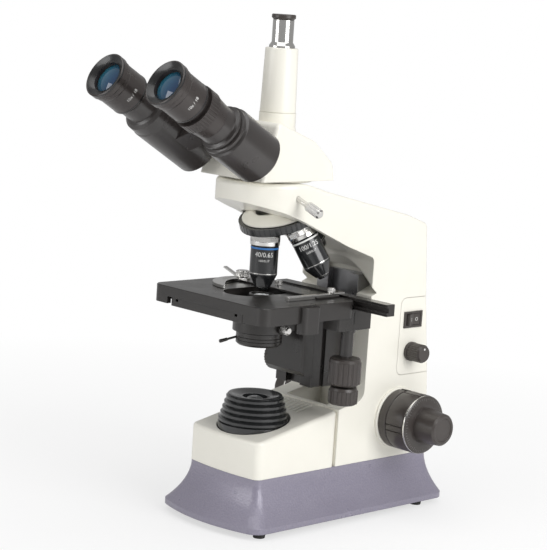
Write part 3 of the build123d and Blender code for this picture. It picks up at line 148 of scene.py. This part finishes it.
sheet = bmesh.new()
bmesh.ops.create_grid(sheet, x_segments=1, y_segments=1, size=FLOOR_HALF)
floor_mesh = bpy.data.meshes.new("floor")
sheet.to_mesh(floor_mesh)
sheet.free()
floor = bpy.data.objects.new("floor", floor_mesh)
bpy.context.scene.collection.objects.link(floor)
floor.location = (0, 0, FLOOR_Z)
floor_paint = bpy.data.materials.new("floor")
floor_paint.use_nodes = True
n, links = floor_paint.node_tree.nodes, floor_paint.node_tree.links
shader = n["Principled BSDF"]
shader.inputs["Base Color"].default_value = FLOOR_GREY
shader.inputs["Roughness"].default_value = 0.6
plain_white = n.new("ShaderNodeEmission")
distance = n.new("ShaderNodeVectorMath")
distance.operation = "LENGTH"
links.new(n.new("ShaderNodeTexCoord").outputs["Object"], distance.inputs[0])
away = n.new("ShaderNodeMapRange")
away.inputs["From Min"].default_value = FADE_START
away.inputs["From Max"].default_value = FADE_END
away.inputs["To Min"].default_value = WHITE_NEAR
away.inputs["To Max"].default_value = WHITE_FAR
links.new(distance.outputs["Value"], away.inputs["Value"])
floor_rays = n.new("ShaderNodeLightPath")
floor_seen = n.new("ShaderNodeMath")
floor_seen.operation = "MULTIPLY"
links.new(floor_rays.outputs["Is Camera Ray"], floor_seen.inputs[0])
links.new(away.outputs["Result"], floor_seen.inputs[1])
floor_mix = n.new("ShaderNodeMixShader")
links.new(floor_seen.outputs[0], floor_mix.inputs[0])
links.new(shader.outputs[0], floor_mix.inputs[1])
links.new(plain_white.outputs[0], floor_mix.inputs[2])
links.new(floor_mix.outputs[0], n["Material Output"].inputs["Surface"])
floor_mesh.materials.append(floor_paint)

# %% [markdown]
# Real paint and moulded plastic are never one flat colour. Two shader groups are built once
# and placed in every material with other numbers: one gives a fine grain for bump and
# roughness, the other a slow change of tone and a little dust, as handling leaves them.

# %% shared shader groups
# sockets of a colour Mix node: the two colours and the result
MIX_A, MIX_B, MIX_OUT = 6, 7, 2
CLOUD_SCALE = 45.0
SPECK_SCALE = 260.0


def new_group(name, inputs, outputs):
    """An empty node group with named sockets; each input is (name, type, value)."""
    group = bpy.data.node_groups.new(name, "ShaderNodeTree")
    for label, kind, value in inputs:
        socket = group.interface.new_socket(label, in_out="INPUT", socket_type=kind)
        if value is not None:
            socket.default_value = value
    for label, kind in outputs:
        group.interface.new_socket(label, in_out="OUTPUT", socket_type=kind)
    entry = group.nodes.new("NodeGroupInput")
    exit_node = group.nodes.new("NodeGroupOutput")
    return group, entry, exit_node


def noise(tree_nodes, links, vector, scale, detail=3.0, rough=0.55):
    """A noise texture on the given vector."""
    node = tree_nodes.new("ShaderNodeTexNoise")
    node.inputs["Detail"].default_value = detail
    node.inputs["Roughness"].default_value = rough
    links.new(vector, node.inputs["Vector"])
    if isinstance(scale, (int, float)):
        node.inputs["Scale"].default_value = scale
    else:
        links.new(scale, node.inputs["Scale"])
    return node.outputs["Fac"]


def spread(tree_nodes, links, value, low, high):
    """Map 0..1 noise round its middle to the range low..high."""
    node = tree_nodes.new("ShaderNodeMapRange")
    node.inputs["From Min"].default_value = 0.3
    node.inputs["From Max"].default_value = 0.7
    links.new(value, node.inputs["Value"])
    for label, bound in (("To Min", low), ("To Max", high)):
        if isinstance(bound, (int, float)):
            node.inputs[label].default_value = bound
        else:
            links.new(bound, node.inputs[label])
    return node.outputs["Result"]


grain, entry, exit_node = new_group(
    "grain",
    [
        ("Vector", "NodeSocketVector", None),
        ("Scale", "NodeSocketFloat", 900.0),
        ("Rough Low", "NodeSocketFloat", 0.3),
        ("Rough High", "NodeSocketFloat", 0.4),
    ],
    [("Height", "NodeSocketFloat"), ("Roughness", "NodeSocketFloat")],
)
fine = noise(grain.nodes, grain.links, entry.outputs["Vector"], entry.outputs["Scale"])
cloud = noise(grain.nodes, grain.links, entry.outputs["Vector"], CLOUD_SCALE, 4.0)
grain.links.new(fine, exit_node.inputs["Height"])
grain.links.new(
    spread(grain.nodes, grain.links, cloud, entry.outputs["Rough Low"],
           entry.outputs["Rough High"]),
    exit_node.inputs["Roughness"],
)

tone, entry, exit_node = new_group(
    "tone",
    [
        ("Vector", "NodeSocketVector", None),
        ("Normal", "NodeSocketVector", None),
        ("Colour", "NodeSocketColor", (0.5, 0.5, 0.5, 1)),
        ("Second Colour", "NodeSocketColor", (0.5, 0.5, 0.5, 1)),
        ("Dust Colour", "NodeSocketColor", (0.6, 0.58, 0.54, 1)),
        ("Dust", "NodeSocketFloat", 0.1),
        ("Patch Scale", "NodeSocketFloat", 22.0),
    ],
    [("Colour", "NodeSocketColor")],
)
patch = noise(tone.nodes, tone.links, entry.outputs["Vector"], entry.outputs["Patch Scale"],
              5.0)
blend = tone.nodes.new("ShaderNodeMix")
blend.data_type = "RGBA"
tone.links.new(spread(tone.nodes, tone.links, patch, 0.0, 1.0), blend.inputs["Factor"])
tone.links.new(entry.outputs["Colour"], blend.inputs[MIX_A])
tone.links.new(entry.outputs["Second Colour"], blend.inputs[MIX_B])
parts = tone.nodes.new("ShaderNodeSeparateXYZ")
tone.links.new(entry.outputs["Normal"], parts.inputs[0])
upward = tone.nodes.new("ShaderNodeMapRange")
upward.inputs["From Min"].default_value = 0.3
tone.links.new(parts.outputs["Z"], upward.inputs["Value"])
specks = noise(tone.nodes, tone.links, entry.outputs["Vector"], SPECK_SCALE, 6.0, 0.7)
dusty = tone.nodes.new("ShaderNodeMath")
dusty.operation = "MULTIPLY"
tone.links.new(upward.outputs["Result"], dusty.inputs[0])
tone.links.new(spread(tone.nodes, tone.links, specks, 0.0, entry.outputs["Dust"]), dusty.inputs[1])
settle = tone.nodes.new("ShaderNodeMix")
settle.data_type = "RGBA"
tone.links.new(dusty.outputs[0], settle.inputs["Factor"])
tone.links.new(blend.outputs[MIX_OUT], settle.inputs[MIX_A])
tone.links.new(entry.outputs["Dust Colour"], settle.inputs[MIX_B])
tone.links.new(settle.outputs[MIX_OUT], exit_node.inputs["Colour"])
print("groups", [g.name for g in bpy.data.node_groups])

# %% [markdown]
# Every finish is a Principled shader fed by the two groups. The values that are the same all
# over, such as coat and metal, stay on the shader's own sockets. A Bevel node rounds the
# edges in the shading, since a pressed or cast edge is never razor sharp.

# %% material maker


def finish(name, colour, second, rough, metal=0.0, grain_scale=900.0, bump=0.05, dust=0.015,
           coat=0.0, coat_rough=0.1, edge=0.0005, dust_colour=(0.6, 0.58, 0.54),
           patch_scale=22.0, depth=0.0004):
    """A material with tone, grain and softened edges."""
    material = bpy.data.materials.new(name)
    material.use_nodes = True
    n, links = material.node_tree.nodes, material.node_tree.links
    shader = n["Principled BSDF"]
    where = n.new("ShaderNodeTexCoord").outputs["Object"]
    geometry = n.new("ShaderNodeNewGeometry")
    fine_group = n.new("ShaderNodeGroup")
    fine_group.name = "grain"
    fine_group.node_tree = grain
    fine_group.inputs["Scale"].default_value = grain_scale
    fine_group.inputs["Rough Low"].default_value = rough[0]
    fine_group.inputs["Rough High"].default_value = rough[1]
    links.new(where, fine_group.inputs["Vector"])
    links.new(fine_group.outputs["Roughness"], shader.inputs["Roughness"])
    tone_group = n.new("ShaderNodeGroup")
    tone_group.name = "tone"
    tone_group.node_tree = tone
    tone_group.inputs["Colour"].default_value = (*colour, 1)
    tone_group.inputs["Second Colour"].default_value = (*second, 1)
    tone_group.inputs["Dust Colour"].default_value = (*dust_colour, 1)
    tone_group.inputs["Dust"].default_value = dust
    tone_group.inputs["Patch Scale"].default_value = patch_scale
    links.new(where, tone_group.inputs["Vector"])
    links.new(geometry.outputs["Normal"], tone_group.inputs["Normal"])
    links.new(tone_group.outputs["Colour"], shader.inputs["Base Color"])
    height = n.new("ShaderNodeBump")
    height.name = "height"
    height.inputs["Strength"].default_value = bump
    height.inputs["Distance"].default_value = depth
    links.new(fine_group.outputs["Height"], height.inputs["Height"])
    if edge:
        soft_edge = n.new("ShaderNodeBevel")
        soft_edge.samples = 4
        soft_edge.inputs["Radius"].default_value = edge
        links.new(soft_edge.outputs[0], height.inputs["Normal"])
    links.new(height.outputs[0], shader.inputs["Normal"])
    shader.inputs["Metallic"].default_value = metal
    shader.inputs["Coat Weight"].default_value = coat
    shader.inputs["Coat Roughness"].default_value = coat_rough
    return material


def dress(material, *names):
    """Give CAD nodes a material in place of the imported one."""
    for name in names:
        mesh = nodes[name].data
        mesh.materials.clear()
        mesh.materials.append(material)
    print(material.name, "on", ", ".join(names))


# %% [markdown]
# Cream enamel on the castings: a warm white with a wet gloss and a faint orange peel.

# %% cream enamel
cream = finish("cream enamel", (0.86, 0.84, 0.76), (0.83, 0.81, 0.73), (0.30, 0.38),
               grain_scale=420, bump=0.03, dust=0.04, coat=0.25, coat_rough=0.12, edge=0.0008)
dress(cream, "arm", "lamp_housing", "electrics_cover", "focus_bearings", "head_housing",
      "photo_tube", "nosepiece_mount")

# %% [markdown]
# The skirt wears a hammered paint: small shallow dimples under 2 mm apart, glossy, violet
# grey. Its tone is mottled by a noise on the same scale as the bump's grain, so it roughly follows
# the relief: the crests come out lighter and the dimples carry a painted shade.

# %% hammered skirt
# patch_scale equal to grain_scale ties the tone to the bump: a painted shade in the dimples
hammered = finish("hammered violet grey", (0.235, 0.218, 0.285), (0.275, 0.258, 0.325),
                  (0.26, 0.36), metal=0.15, grain_scale=620, bump=0.6, dust=0.03, coat=0.4,
                  coat_rough=0.16, edge=0.001, patch_scale=620, depth=0.0008)
dress(hammered, "base_skirt")

# %% [markdown]
# Blackened aluminium on stage and condenser, a satin lacquer on the prism housings, a glossy one
# on turret, objectives and lens collar, and warm black plastic on knobs and switch. Each is the
# same maker with other numbers, because what tells them apart is mostly their roughness.

# %% black metal and plastics
black_metal = finish("blackened metal", (0.020, 0.018, 0.017), (0.028, 0.025, 0.023),
                     (0.26, 0.36), metal=0.1, grain_scale=1500, bump=0.05, coat=0.25,
                     coat_rough=0.2)
dress(black_metal, "condenser_carrier", "condenser_body", "iris_ring", "focus_slide", "stage_base",
      "stage_plate", "drive_housing", "x_bar", "holder_plate")
housing_black = finish("housing lacquer", (0.024, 0.020, 0.019), (0.034, 0.029, 0.027),
                       (0.26, 0.34), grain_scale=1200, bump=0.04, coat=0.45, coat_rough=0.22)
dress(housing_black, "left_prism_housing", "right_prism_housing")
lacquer = finish("objective lacquer", (0.012, 0.013, 0.014), (0.016, 0.017, 0.018), (0.16, 0.24),
                 grain_scale=1500, bump=0.02, coat=0.5)
dress(lacquer, "turret_disc", "turret_grip", "objective_4x", "objective_10x", "objective_40x",
      "objective_100x", "lens_collar")
plastic = finish("moulded black", (0.038, 0.031, 0.028), (0.052, 0.044, 0.040), (0.30, 0.40),
                 grain_scale=2200, bump=0.10, coat=0.15, coat_rough=0.25)
dress(plastic, "coarse_knobs", "fine_knobs", "tension_ring", "dimmer_knob", "switch_frame",
      "power_rocker", "power_inlet", "condenser_knob", "y_drive_knob", "x_drive_knob",
      "photo_cap")
rubber = finish("foot rubber", (0.022, 0.021, 0.020), (0.03, 0.029, 0.028), (0.7, 0.85),
                bump=0.3)
dress(rubber, "feet")

# %% [markdown]
# Chrome and steel: full metals, told apart by their roughness and tint. Lamp socket and power
# board hide inside the base and only need a plain ceramic and a green board.

# %% metals
chrome = finish("chrome", (0.72, 0.71, 0.69), (0.66, 0.65, 0.63), (0.10, 0.18), metal=1.0,
                grain_scale=1800, bump=0.02, dust=0.02)
dress(chrome, "photo_port", "head_screw", "fixed_jaw",
      "holder_screws", "slide_clip", "condenser_screw")
steel = finish("machined steel", (0.45, 0.45, 0.46), (0.40, 0.40, 0.41), (0.25, 0.38), metal=1.0,
               grain_scale=1400, bump=0.08)
dress(steel, "bottom_plate", "coarse_shaft", "fine_shaft", "focus_rack", "guide_rail")
ceramic = finish("lamp ceramic", (0.75, 0.72, 0.66), (0.70, 0.67, 0.6), (0.4, 0.5), bump=0.08)
dress(ceramic, "lamp_socket")
board = finish("circuit board", (0.03, 0.16, 0.08), (0.04, 0.19, 0.09), (0.35, 0.5), bump=0.15)
dress(board, "power_board")

# %% [markdown]
# Lenses: clear glass, and for the eye lenses a dark glass under a coating that is violet from
# straight ahead and blue-green at a slant, which a Layer Weight node gives.

# %% glass


def glass(name, colour, rough, through, rim_colour=None):
    """Clear or coated glass; a coating turns from one colour to another with the slant."""
    material = bpy.data.materials.new(name)
    material.use_nodes = True
    n, links = material.node_tree.nodes, material.node_tree.links
    shader = n["Principled BSDF"]
    where = n.new("ShaderNodeTexCoord").outputs["Object"]
    smear = noise(n, links, where, 120.0, 4.0)
    links.new(spread(n, links, smear, rough, rough + 0.05), shader.inputs["Roughness"])
    shader.inputs["Base Color"].default_value = (*colour, 1)
    shader.inputs["Transmission Weight"].default_value = through
    shader.inputs["IOR"].default_value = 1.5
    shader.inputs["Coat Weight"].default_value = 0.6
    shader.inputs["Coat Roughness"].default_value = 0.03
    if rim_colour:
        slant = n.new("ShaderNodeLayerWeight")
        slant.inputs["Blend"].default_value = 0.35
        tint = n.new("ShaderNodeMix")
        tint.data_type = "RGBA"
        tint.inputs[MIX_A].default_value = (*colour, 1)
        tint.inputs[MIX_B].default_value = (*rim_colour, 1)
        links.new(slant.outputs["Facing"], tint.inputs["Factor"])
        links.new(tint.outputs[MIX_OUT], shader.inputs["Base Color"])
    return material


clear = glass("clear glass", (0.93, 0.96, 0.96), 0.02, 0.9)
dress(clear, "field_lens", "lamp_bulb", "condenser_lens", "objective_lenses")
coated = glass("coated eye lens", (0.010, 0.020, 0.085), 0.02, 0.0, (0.02, 0.17, 0.22))
dress(coated, "left_eyepiece_lens", "right_eyepiece_lens")

# %% [markdown]
# Small turned parts, such as the chrome collars of the objectives, are spun: an outline of
# radius and height goes once round the axis. Every second column of vertices can be pushed
# inwards afterwards, which is how a knurl comes out as real ribs and not as a picture.

# %% turned pieces
MERGE = 1e-7
SHARP_ANGLE = 0.5
SPIN_STEPS = 72


def stand(origin, axis, facing=None):
    """Matrix with z along the axis and, when given, x towards the facing direction."""
    z = Vector(axis).normalized()
    x = Vector(facing) if facing else z.orthogonal()
    x = (x - z * x.dot(z)).normalized()
    return Matrix.Translation(origin) @ Matrix((x, z.cross(x), z)).transposed().to_4x4()


def new_piece(name, shape, where, material, body, replaced=()):
    """Close, orient and place a shape, give it a material and let it ride on a body."""
    bmesh.ops.remove_doubles(shape, verts=shape.verts, dist=MERGE)
    bmesh.ops.recalc_face_normals(shape, faces=shape.faces)
    shape.transform(where)
    for face in shape.faces:
        face.smooth = True
    for edge in shape.edges:
        edge.smooth = edge.calc_face_angle(0) < SHARP_ANGLE
    mesh = bpy.data.meshes.new(name)
    shape.to_mesh(mesh)
    shape.free()
    mesh.materials.append(material)
    piece = bpy.data.objects.new(name, mesh)
    bpy.context.scene.collection.objects.link(piece)
    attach(piece, body)
    if replaced:
        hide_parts(*replaced)
    return piece


def spun(points, steps=SPIN_STEPS):
    """Shell turned about z from a closed outline of (radius, height) in millimetres."""
    shape = bmesh.new()
    corners = [shape.verts.new((r * MM, 0, h * MM)) for r, h in points]
    sides = [shape.edges.new(pair) for pair in zip(corners, corners[1:] + corners[:1])]
    bmesh.ops.spin(shape, geom=corners + sides, axis=(0, 0, 1), cent=(0, 0, 0), dvec=(0, 0, 0),
                   angle=2 * math.pi, steps=steps, use_merge=True)
    return shape


def press_columns(shape, steps, columns, depth, low, high, beyond):
    """Push the chosen columns of an outer wall inwards between two heights."""
    for vert in shape.verts:
        radius = math.hypot(vert.co.x, vert.co.y)
        column = round(math.atan2(vert.co.y, vert.co.x) / (2 * math.pi) * steps) % steps
        if columns(column) and low * MM <= vert.co.z <= high * MM and radius > beyond * MM:
            shrink = (radius - depth * MM) / radius
            vert.co.x *= shrink
            vert.co.y *= shrink


print("outlines are spun in", SPIN_STEPS, "steps unless a piece says otherwise")

# %% [markdown]
# Printed numbers are flat text made into a mesh and bent round the barrel: the distance along
# the line becomes an angle. They lie a few hundredths of a millimetre proud of the surface.

# %% numbers bent round a barrel
INK_PROUD = 0.04


def flat_text(words, size):
    """Mesh of a word, centred, lying in the x-y plane, in metres."""
    curve = bpy.data.curves.new("words", "FONT")
    curve.body = words
    curve.size = size * MM
    curve.align_x, curve.align_y = "CENTER", "CENTER"
    curve.resolution_u = 4
    holder = bpy.data.objects.new("words", curve)
    bpy.context.scene.collection.objects.link(holder)
    bpy.context.view_layer.update()
    mesh = bpy.data.meshes.new_from_object(holder)
    shape = bmesh.new()
    shape.from_mesh(mesh)
    bpy.data.objects.remove(holder)
    bpy.data.curves.remove(curve)
    bpy.data.meshes.remove(mesh)
    return shape


def print_round(name, words, size, radius, height, where, material, body):
    """Print words round a barrel: read with the axis pointing down, centred on the x side."""
    shape = flat_text(words, size)
    bmesh.ops.subdivide_edges(shape, edges=shape.edges, cuts=1)
    for vert in shape.verts:
        angle = vert.co.x / (radius * MM)
        rise = vert.co.y
        lifted = (radius + INK_PROUD) * MM
        vert.co = (lifted * math.cos(angle), -lifted * math.sin(angle), height * MM - rise)
    return new_piece(name, shape, where, material, body)


print("ink stands", INK_PROUD, "mm proud")

# %% [markdown]
# White ink for the numbers, grey for the ticks of the dials, and the thin colour rings that tell
# objectives apart: red, yellow, blue and white, as every maker uses them. Ink is flat and thin,
# so these finishes go without the softened edge.

# %% inks
INK_ROUGH = (0.4, 0.5)
RING_ROUGH = (0.3, 0.4)


def ink(name, colour, second, rough):
    """A flat ink: a finish with hardly any grain and no softened edge."""
    return finish(name, colour, second, rough, bump=0.02, edge=0)


ink_white = ink("white ink", (0.80, 0.80, 0.78), (0.72, 0.72, 0.70), INK_ROUGH)
ink_grey = ink("grey ink", (0.22, 0.22, 0.21), (0.18, 0.18, 0.17), INK_ROUGH)
ring_red = ink("red ring", (0.55, 0.03, 0.02), (0.5, 0.03, 0.02), RING_ROUGH)
ring_yellow = ink("yellow ring", (0.75, 0.5, 0.03), (0.7, 0.46, 0.03), RING_ROUGH)
ring_blue = ink("blue ring", (0.03, 0.20, 0.55), (0.03, 0.17, 0.48), RING_ROUGH)
print("inks", [m.name for m in (ink_white, ink_grey, ring_red, ring_yellow, ring_blue)])

# %% [markdown]
# The turret's axis leans by 21.5 degrees, and its four seats lie on a cone, so the working
# objective stands upright on the optical axis. The seats are worked out from those sizes.

# %% the four seats
TILT = math.radians(21.5)
SEAT_Z = 234.5
SEAT_CIRCLE = 19.5
TOWARDS_CAMERA = Vector((0.708, -0.690, 0.15))
down_axis = Vector((0, math.sin(TILT), -math.cos(TILT)))
turret_middle = place(0, SEAT_CIRCLE * math.cos(TILT), SEAT_Z + SEAT_CIRCLE * math.sin(TILT))


def seat(index):
    """Matrix of one seat: origin at the shoulder, z along the objective."""
    angle = math.radians(90 * index)
    front = Vector((0, -math.cos(TILT), -math.sin(TILT)))
    across = front * math.cos(angle) + Vector((1, 0, 0)) * math.sin(angle)
    axis = down_axis * math.cos(TILT) + across * math.sin(TILT)
    return stand(turret_middle + across * SEAT_CIRCLE * MM, axis, TOWARDS_CAMERA)


print("working seat at", tuple(round(v, 4) for v in seat(0).translation))

# %% [markdown]
# Each objective gets a chrome collar with a fine knurl, a chrome nose, its colour ring and its
# numbers: power and aperture, and below them tube length and cover glass.

# %% collars, rings and numbers
COLLAR_STEPS = 120
BARREL_R = 11.3
NUMBERS_AT, NUMBERS_SIZE = 15.6, 5.2
SMALL_AT, SMALL_SIZE = 20.4, 2.6
ROOM_FOR_SMALL = 25
# name, seat, numbers, ring, end of the barrel, radius and place of the nose
marks = (
    ("40x", 0, "40/0.65", ring_blue, 32.0, (6.4, 42.6)),
    ("100x", 1, "100/1.25", ink_white, 32.6, (6.0, 42.4)),
    ("10x", 2, "10/0.25", ring_yellow, 26.6, (7.2, 37.0)),
    ("4x", 3, "4/0.10", ring_red, 19.6, (8.4, 27.0)),
)
for label, index, power, ring_ink, barrel_end, cone_end in marks:
    where = seat(index)
    collar = spun([(11.5, 0.4), (11.85, 0.4), (12.05, 0.7), (12.05, 1.4), (12.05, 1.6),
                   (12.05, 5.2), (12.05, 5.4), (11.95, 6.6), (11.85, 8.4), (11.5, 8.4)],
                  COLLAR_STEPS)
    press_columns(collar, COLLAR_STEPS, lambda c: c % 2, 0.28, 1.5, 5.3, 11.9)
    new_piece(f"collar_{label}", collar, where, chrome, "turret")
    band = spun([(11.1, 9.9), (11.42, 9.9), (11.42, 11.3), (11.1, 11.3)])
    new_piece(f"band_{label}", band, where, ring_ink, "turret")
    foot = spun([(11.1, barrel_end - 1.2), (11.40, barrel_end - 1.2), (11.40, barrel_end - 0.5),
                 (11.1, barrel_end - 0.5)])
    new_piece(f"foot_band_{label}", foot, where, chrome, "turret")
    nose_r, nose_t = cone_end
    nose = spun([(nose_r - 1.6, nose_t - 1.4), (nose_r + 0.25, nose_t - 1.4),
                 (nose_r + 0.06, nose_t + 0.05), (nose_r - 1.6, nose_t + 0.05)])
    new_piece(f"nose_{label}", nose, where, chrome, "turret")
    print_round(f"power_{label}", power, NUMBERS_SIZE, BARREL_R, NUMBERS_AT, where, ink_white,
                "turret")
    if barrel_end > ROOM_FOR_SMALL:
        print_round(f"cover_glass_{label}", "160/0.17", SMALL_SIZE, BARREL_R, SMALL_AT, where,
                    ink_white, "turret")
print("objectives dressed", len(marks))

# %% [markdown]
# The focus knobs turn about one axis across the foot of the arm. The coarse knobs carry pairs
# of grooves along their length, so they are spun anew with 1 degree columns and replace the
# plain CAD ones. The flange behind the fine knob has a bright edge and sixty ticks.

# %% focus knobs
FINE_STEPS = 96
FOCUS = place(0, 127, 78)
KNOB_R = 25.0
KNOB_BORE = 5.05
KNOB_END = 71.0
KNOB_START_RIGHT, KNOB_START_LEFT = 52.3, 43.9
KNOB_STEPS = 360
PAIR_AT, HALF_PAIR = 186, 5.7
GROOVE_DEEP = 0.9
GROOVES = [round(PAIR_AT + quarter * 90 + side * HALF_PAIR) % KNOB_STEPS
           for quarter in range(4) for side in (-1, 1)]
DIAL_TICKS, LONG_EVERY = 60, 5
TICK_OUTER_R, TICK_WIDE, TICK_THICK = 23.0, 0.22, 0.06
DIAL_FACE, DIAL_SLOPE = 73.66, 0.156


def in_groove(column):
    """True for the two columns of each groove."""
    return any((column - groove) % KNOB_STEPS in (0, 1) for groove in GROOVES)


def coarse_knob(start, end):
    """One coarse knob about z with its paired grooves."""
    outline = [(KNOB_BORE, start), (KNOB_R - 1, start), (KNOB_R - 0.3, start + 0.3),
               (KNOB_R, start + 1), (KNOB_R, end - 1), (KNOB_R - 0.3, end - 0.3),
               (KNOB_R - 1, end), (KNOB_BORE, end)]
    shape = spun(outline, KNOB_STEPS)
    press_columns(shape, KNOB_STEPS, in_groove, GROOVE_DEEP, start + 0.2, end - 0.2, KNOB_R - 0.5)
    return shape


right_way = stand(FOCUS, (1, 0, 0), (0, 1, 0))
left_way = stand(FOCUS, (-1, 0, 0), (0, 1, 0))
knobs = coarse_knob(KNOB_START_RIGHT, KNOB_END)
knobs.transform(right_way)
left_knob = coarse_knob(KNOB_START_LEFT, KNOB_END)
left_knob.transform(left_way)
left_mesh = bpy.data.meshes.new("left_knob")
left_knob.to_mesh(left_mesh)
left_knob.free()
knobs.from_mesh(left_mesh)
bpy.data.meshes.remove(left_mesh)
new_piece("grooved_coarse_knobs", knobs, Matrix(), plastic, "coarse",
          ("coarse_knobs",))

for side, way in (("right", right_way), ("left", left_way)):
    edge_ring = spun([(24.2, 71.35), (24.66, 71.35), (24.72, 71.6), (24.72, 72.5),
                      (24.62, 72.75), (24.2, 72.75)], FINE_STEPS)
    new_piece(f"dial_edge_{side}", edge_ring, way, chrome, "fine")
    ticks = bmesh.new()
    lean = Matrix.Rotation(math.atan2(1.0, 6.4), 4, "Y")
    for i in range(DIAL_TICKS):
        long = 2.6 if i % LONG_EVERY == 0 else 1.6
        spoke = Matrix.Rotation(math.radians(360 // DIAL_TICKS * i), 4, "Z")
        rise = DIAL_FACE + DIAL_SLOPE * long / 2 + TICK_THICK / 2
        bmesh.ops.create_cube(ticks, size=1, matrix=spoke @ Matrix.Translation(
            ((TICK_OUTER_R - long / 2) * MM, 0, rise * MM)
        ) @ lean @ Matrix.Diagonal((long * MM, TICK_WIDE * MM, TICK_THICK * MM, 1)))
    new_piece(f"dial_ticks_{side}", ticks, way, ink_grey, "fine")
print("grooves at", GROOVES)

# %% [markdown]
# Eyepieces: the front ring is a glossy black, the body a warm satin grey with a thin black ring
# at its lower end, and the power stands on it in white.

# %% eyepieces
LEAN = math.radians(30)
TUBE_AXIS = (0, math.cos(LEAN), -math.sin(LEAN))
HALF_EYE_DISTANCE = 35
TUBE_FRONT_Y, TUBE_FRONT_Z = -145.4, 357.3
BODY_R = 17.0
gloss_black = finish("glossy black ring", (0.006, 0.006, 0.007), (0.010, 0.010, 0.010),
                     (0.22, 0.30), bump=0.02, coat=0.2)
ocular = finish("eyepiece satin", (0.038, 0.031, 0.029), (0.052, 0.044, 0.041), (0.26, 0.34),
                metal=0.3, grain_scale=1600, bump=0.05, coat=0.25, coat_rough=0.2)
dress(ocular, "left_eyepiece", "right_eyepiece", "dioptre_ring")
for side, sign in (("left", -1), ("right", 1)):
    tube = stand(place(sign * HALF_EYE_DISTANCE, TUBE_FRONT_Y, TUBE_FRONT_Z), TUBE_AXIS,
                 TOWARDS_CAMERA)
    rides = f"{side}_ocular"
    rim = spun([(12.6, 3.5), (12.4, 3.1), (14.5, 1.25), (16.8, 0.5), (17.6, 0.05), (18.52, 0.6),
                (18.56, 1.8), (18.3, 1.8), (17.5, 0.7), (14.6, 1.9)], FINE_STEPS)
    new_piece(f"rim_{side}", rim, tube, gloss_black, rides)
    seam = spun([(16.6, 28.2), (17.12, 28.2), (17.12, 29.4), (16.6, 29.4)], FINE_STEPS)
    new_piece(f"seam_{side}", seam, tube, gloss_black, rides)
    print_round(f"power_{side}", "10x / 18", 3.6, BODY_R, 20.5, tube, ink_white, rides)
print("eyepieces dressed")

# %% [markdown]
# The switch is marked with a ring and a bar, the dimmer with a dot. They are flat bits of ink on
# the faces, and each rides on the piece that it is printed on.

# %% switch and dimmer marks
DIMMER_FACE = (57.34, 139, 138.2)
OFF_FACE, OFF_NORMAL = (41.85, 143.2, 161.5), (0.997, -0.073, 0)
ON_FACE, ON_NORMAL = (42.88, 135.9, 161.5), (0.938, 0.345, 0)

dot = bmesh.new()
bmesh.ops.create_circle(dot, cap_ends=True, radius=0.9 * MM, segments=24)
new_piece("dimmer_dot", dot, stand(place(*DIMMER_FACE), (1, 0, 0)), ink_white, "dimmer")
off_ring = spun([(1.15, 0.02), (1.50, 0.02), (1.50, 0.07), (1.15, 0.07)], 32)
new_piece("rocker_ring", off_ring, stand(place(*OFF_FACE), OFF_NORMAL), ink_white, "rocker")
on_bar = bmesh.new()
bmesh.ops.create_cube(on_bar, size=1, matrix=Matrix.Translation((0, 0, 0.045 * MM))
                      @ Matrix.Diagonal((3.0 * MM, 0.4 * MM, 0.05 * MM, 1)))
new_piece("rocker_bar", on_bar, stand(place(*ON_FACE), ON_NORMAL, (0, 0, 1)), ink_white,
          "rocker")
print("marks set")
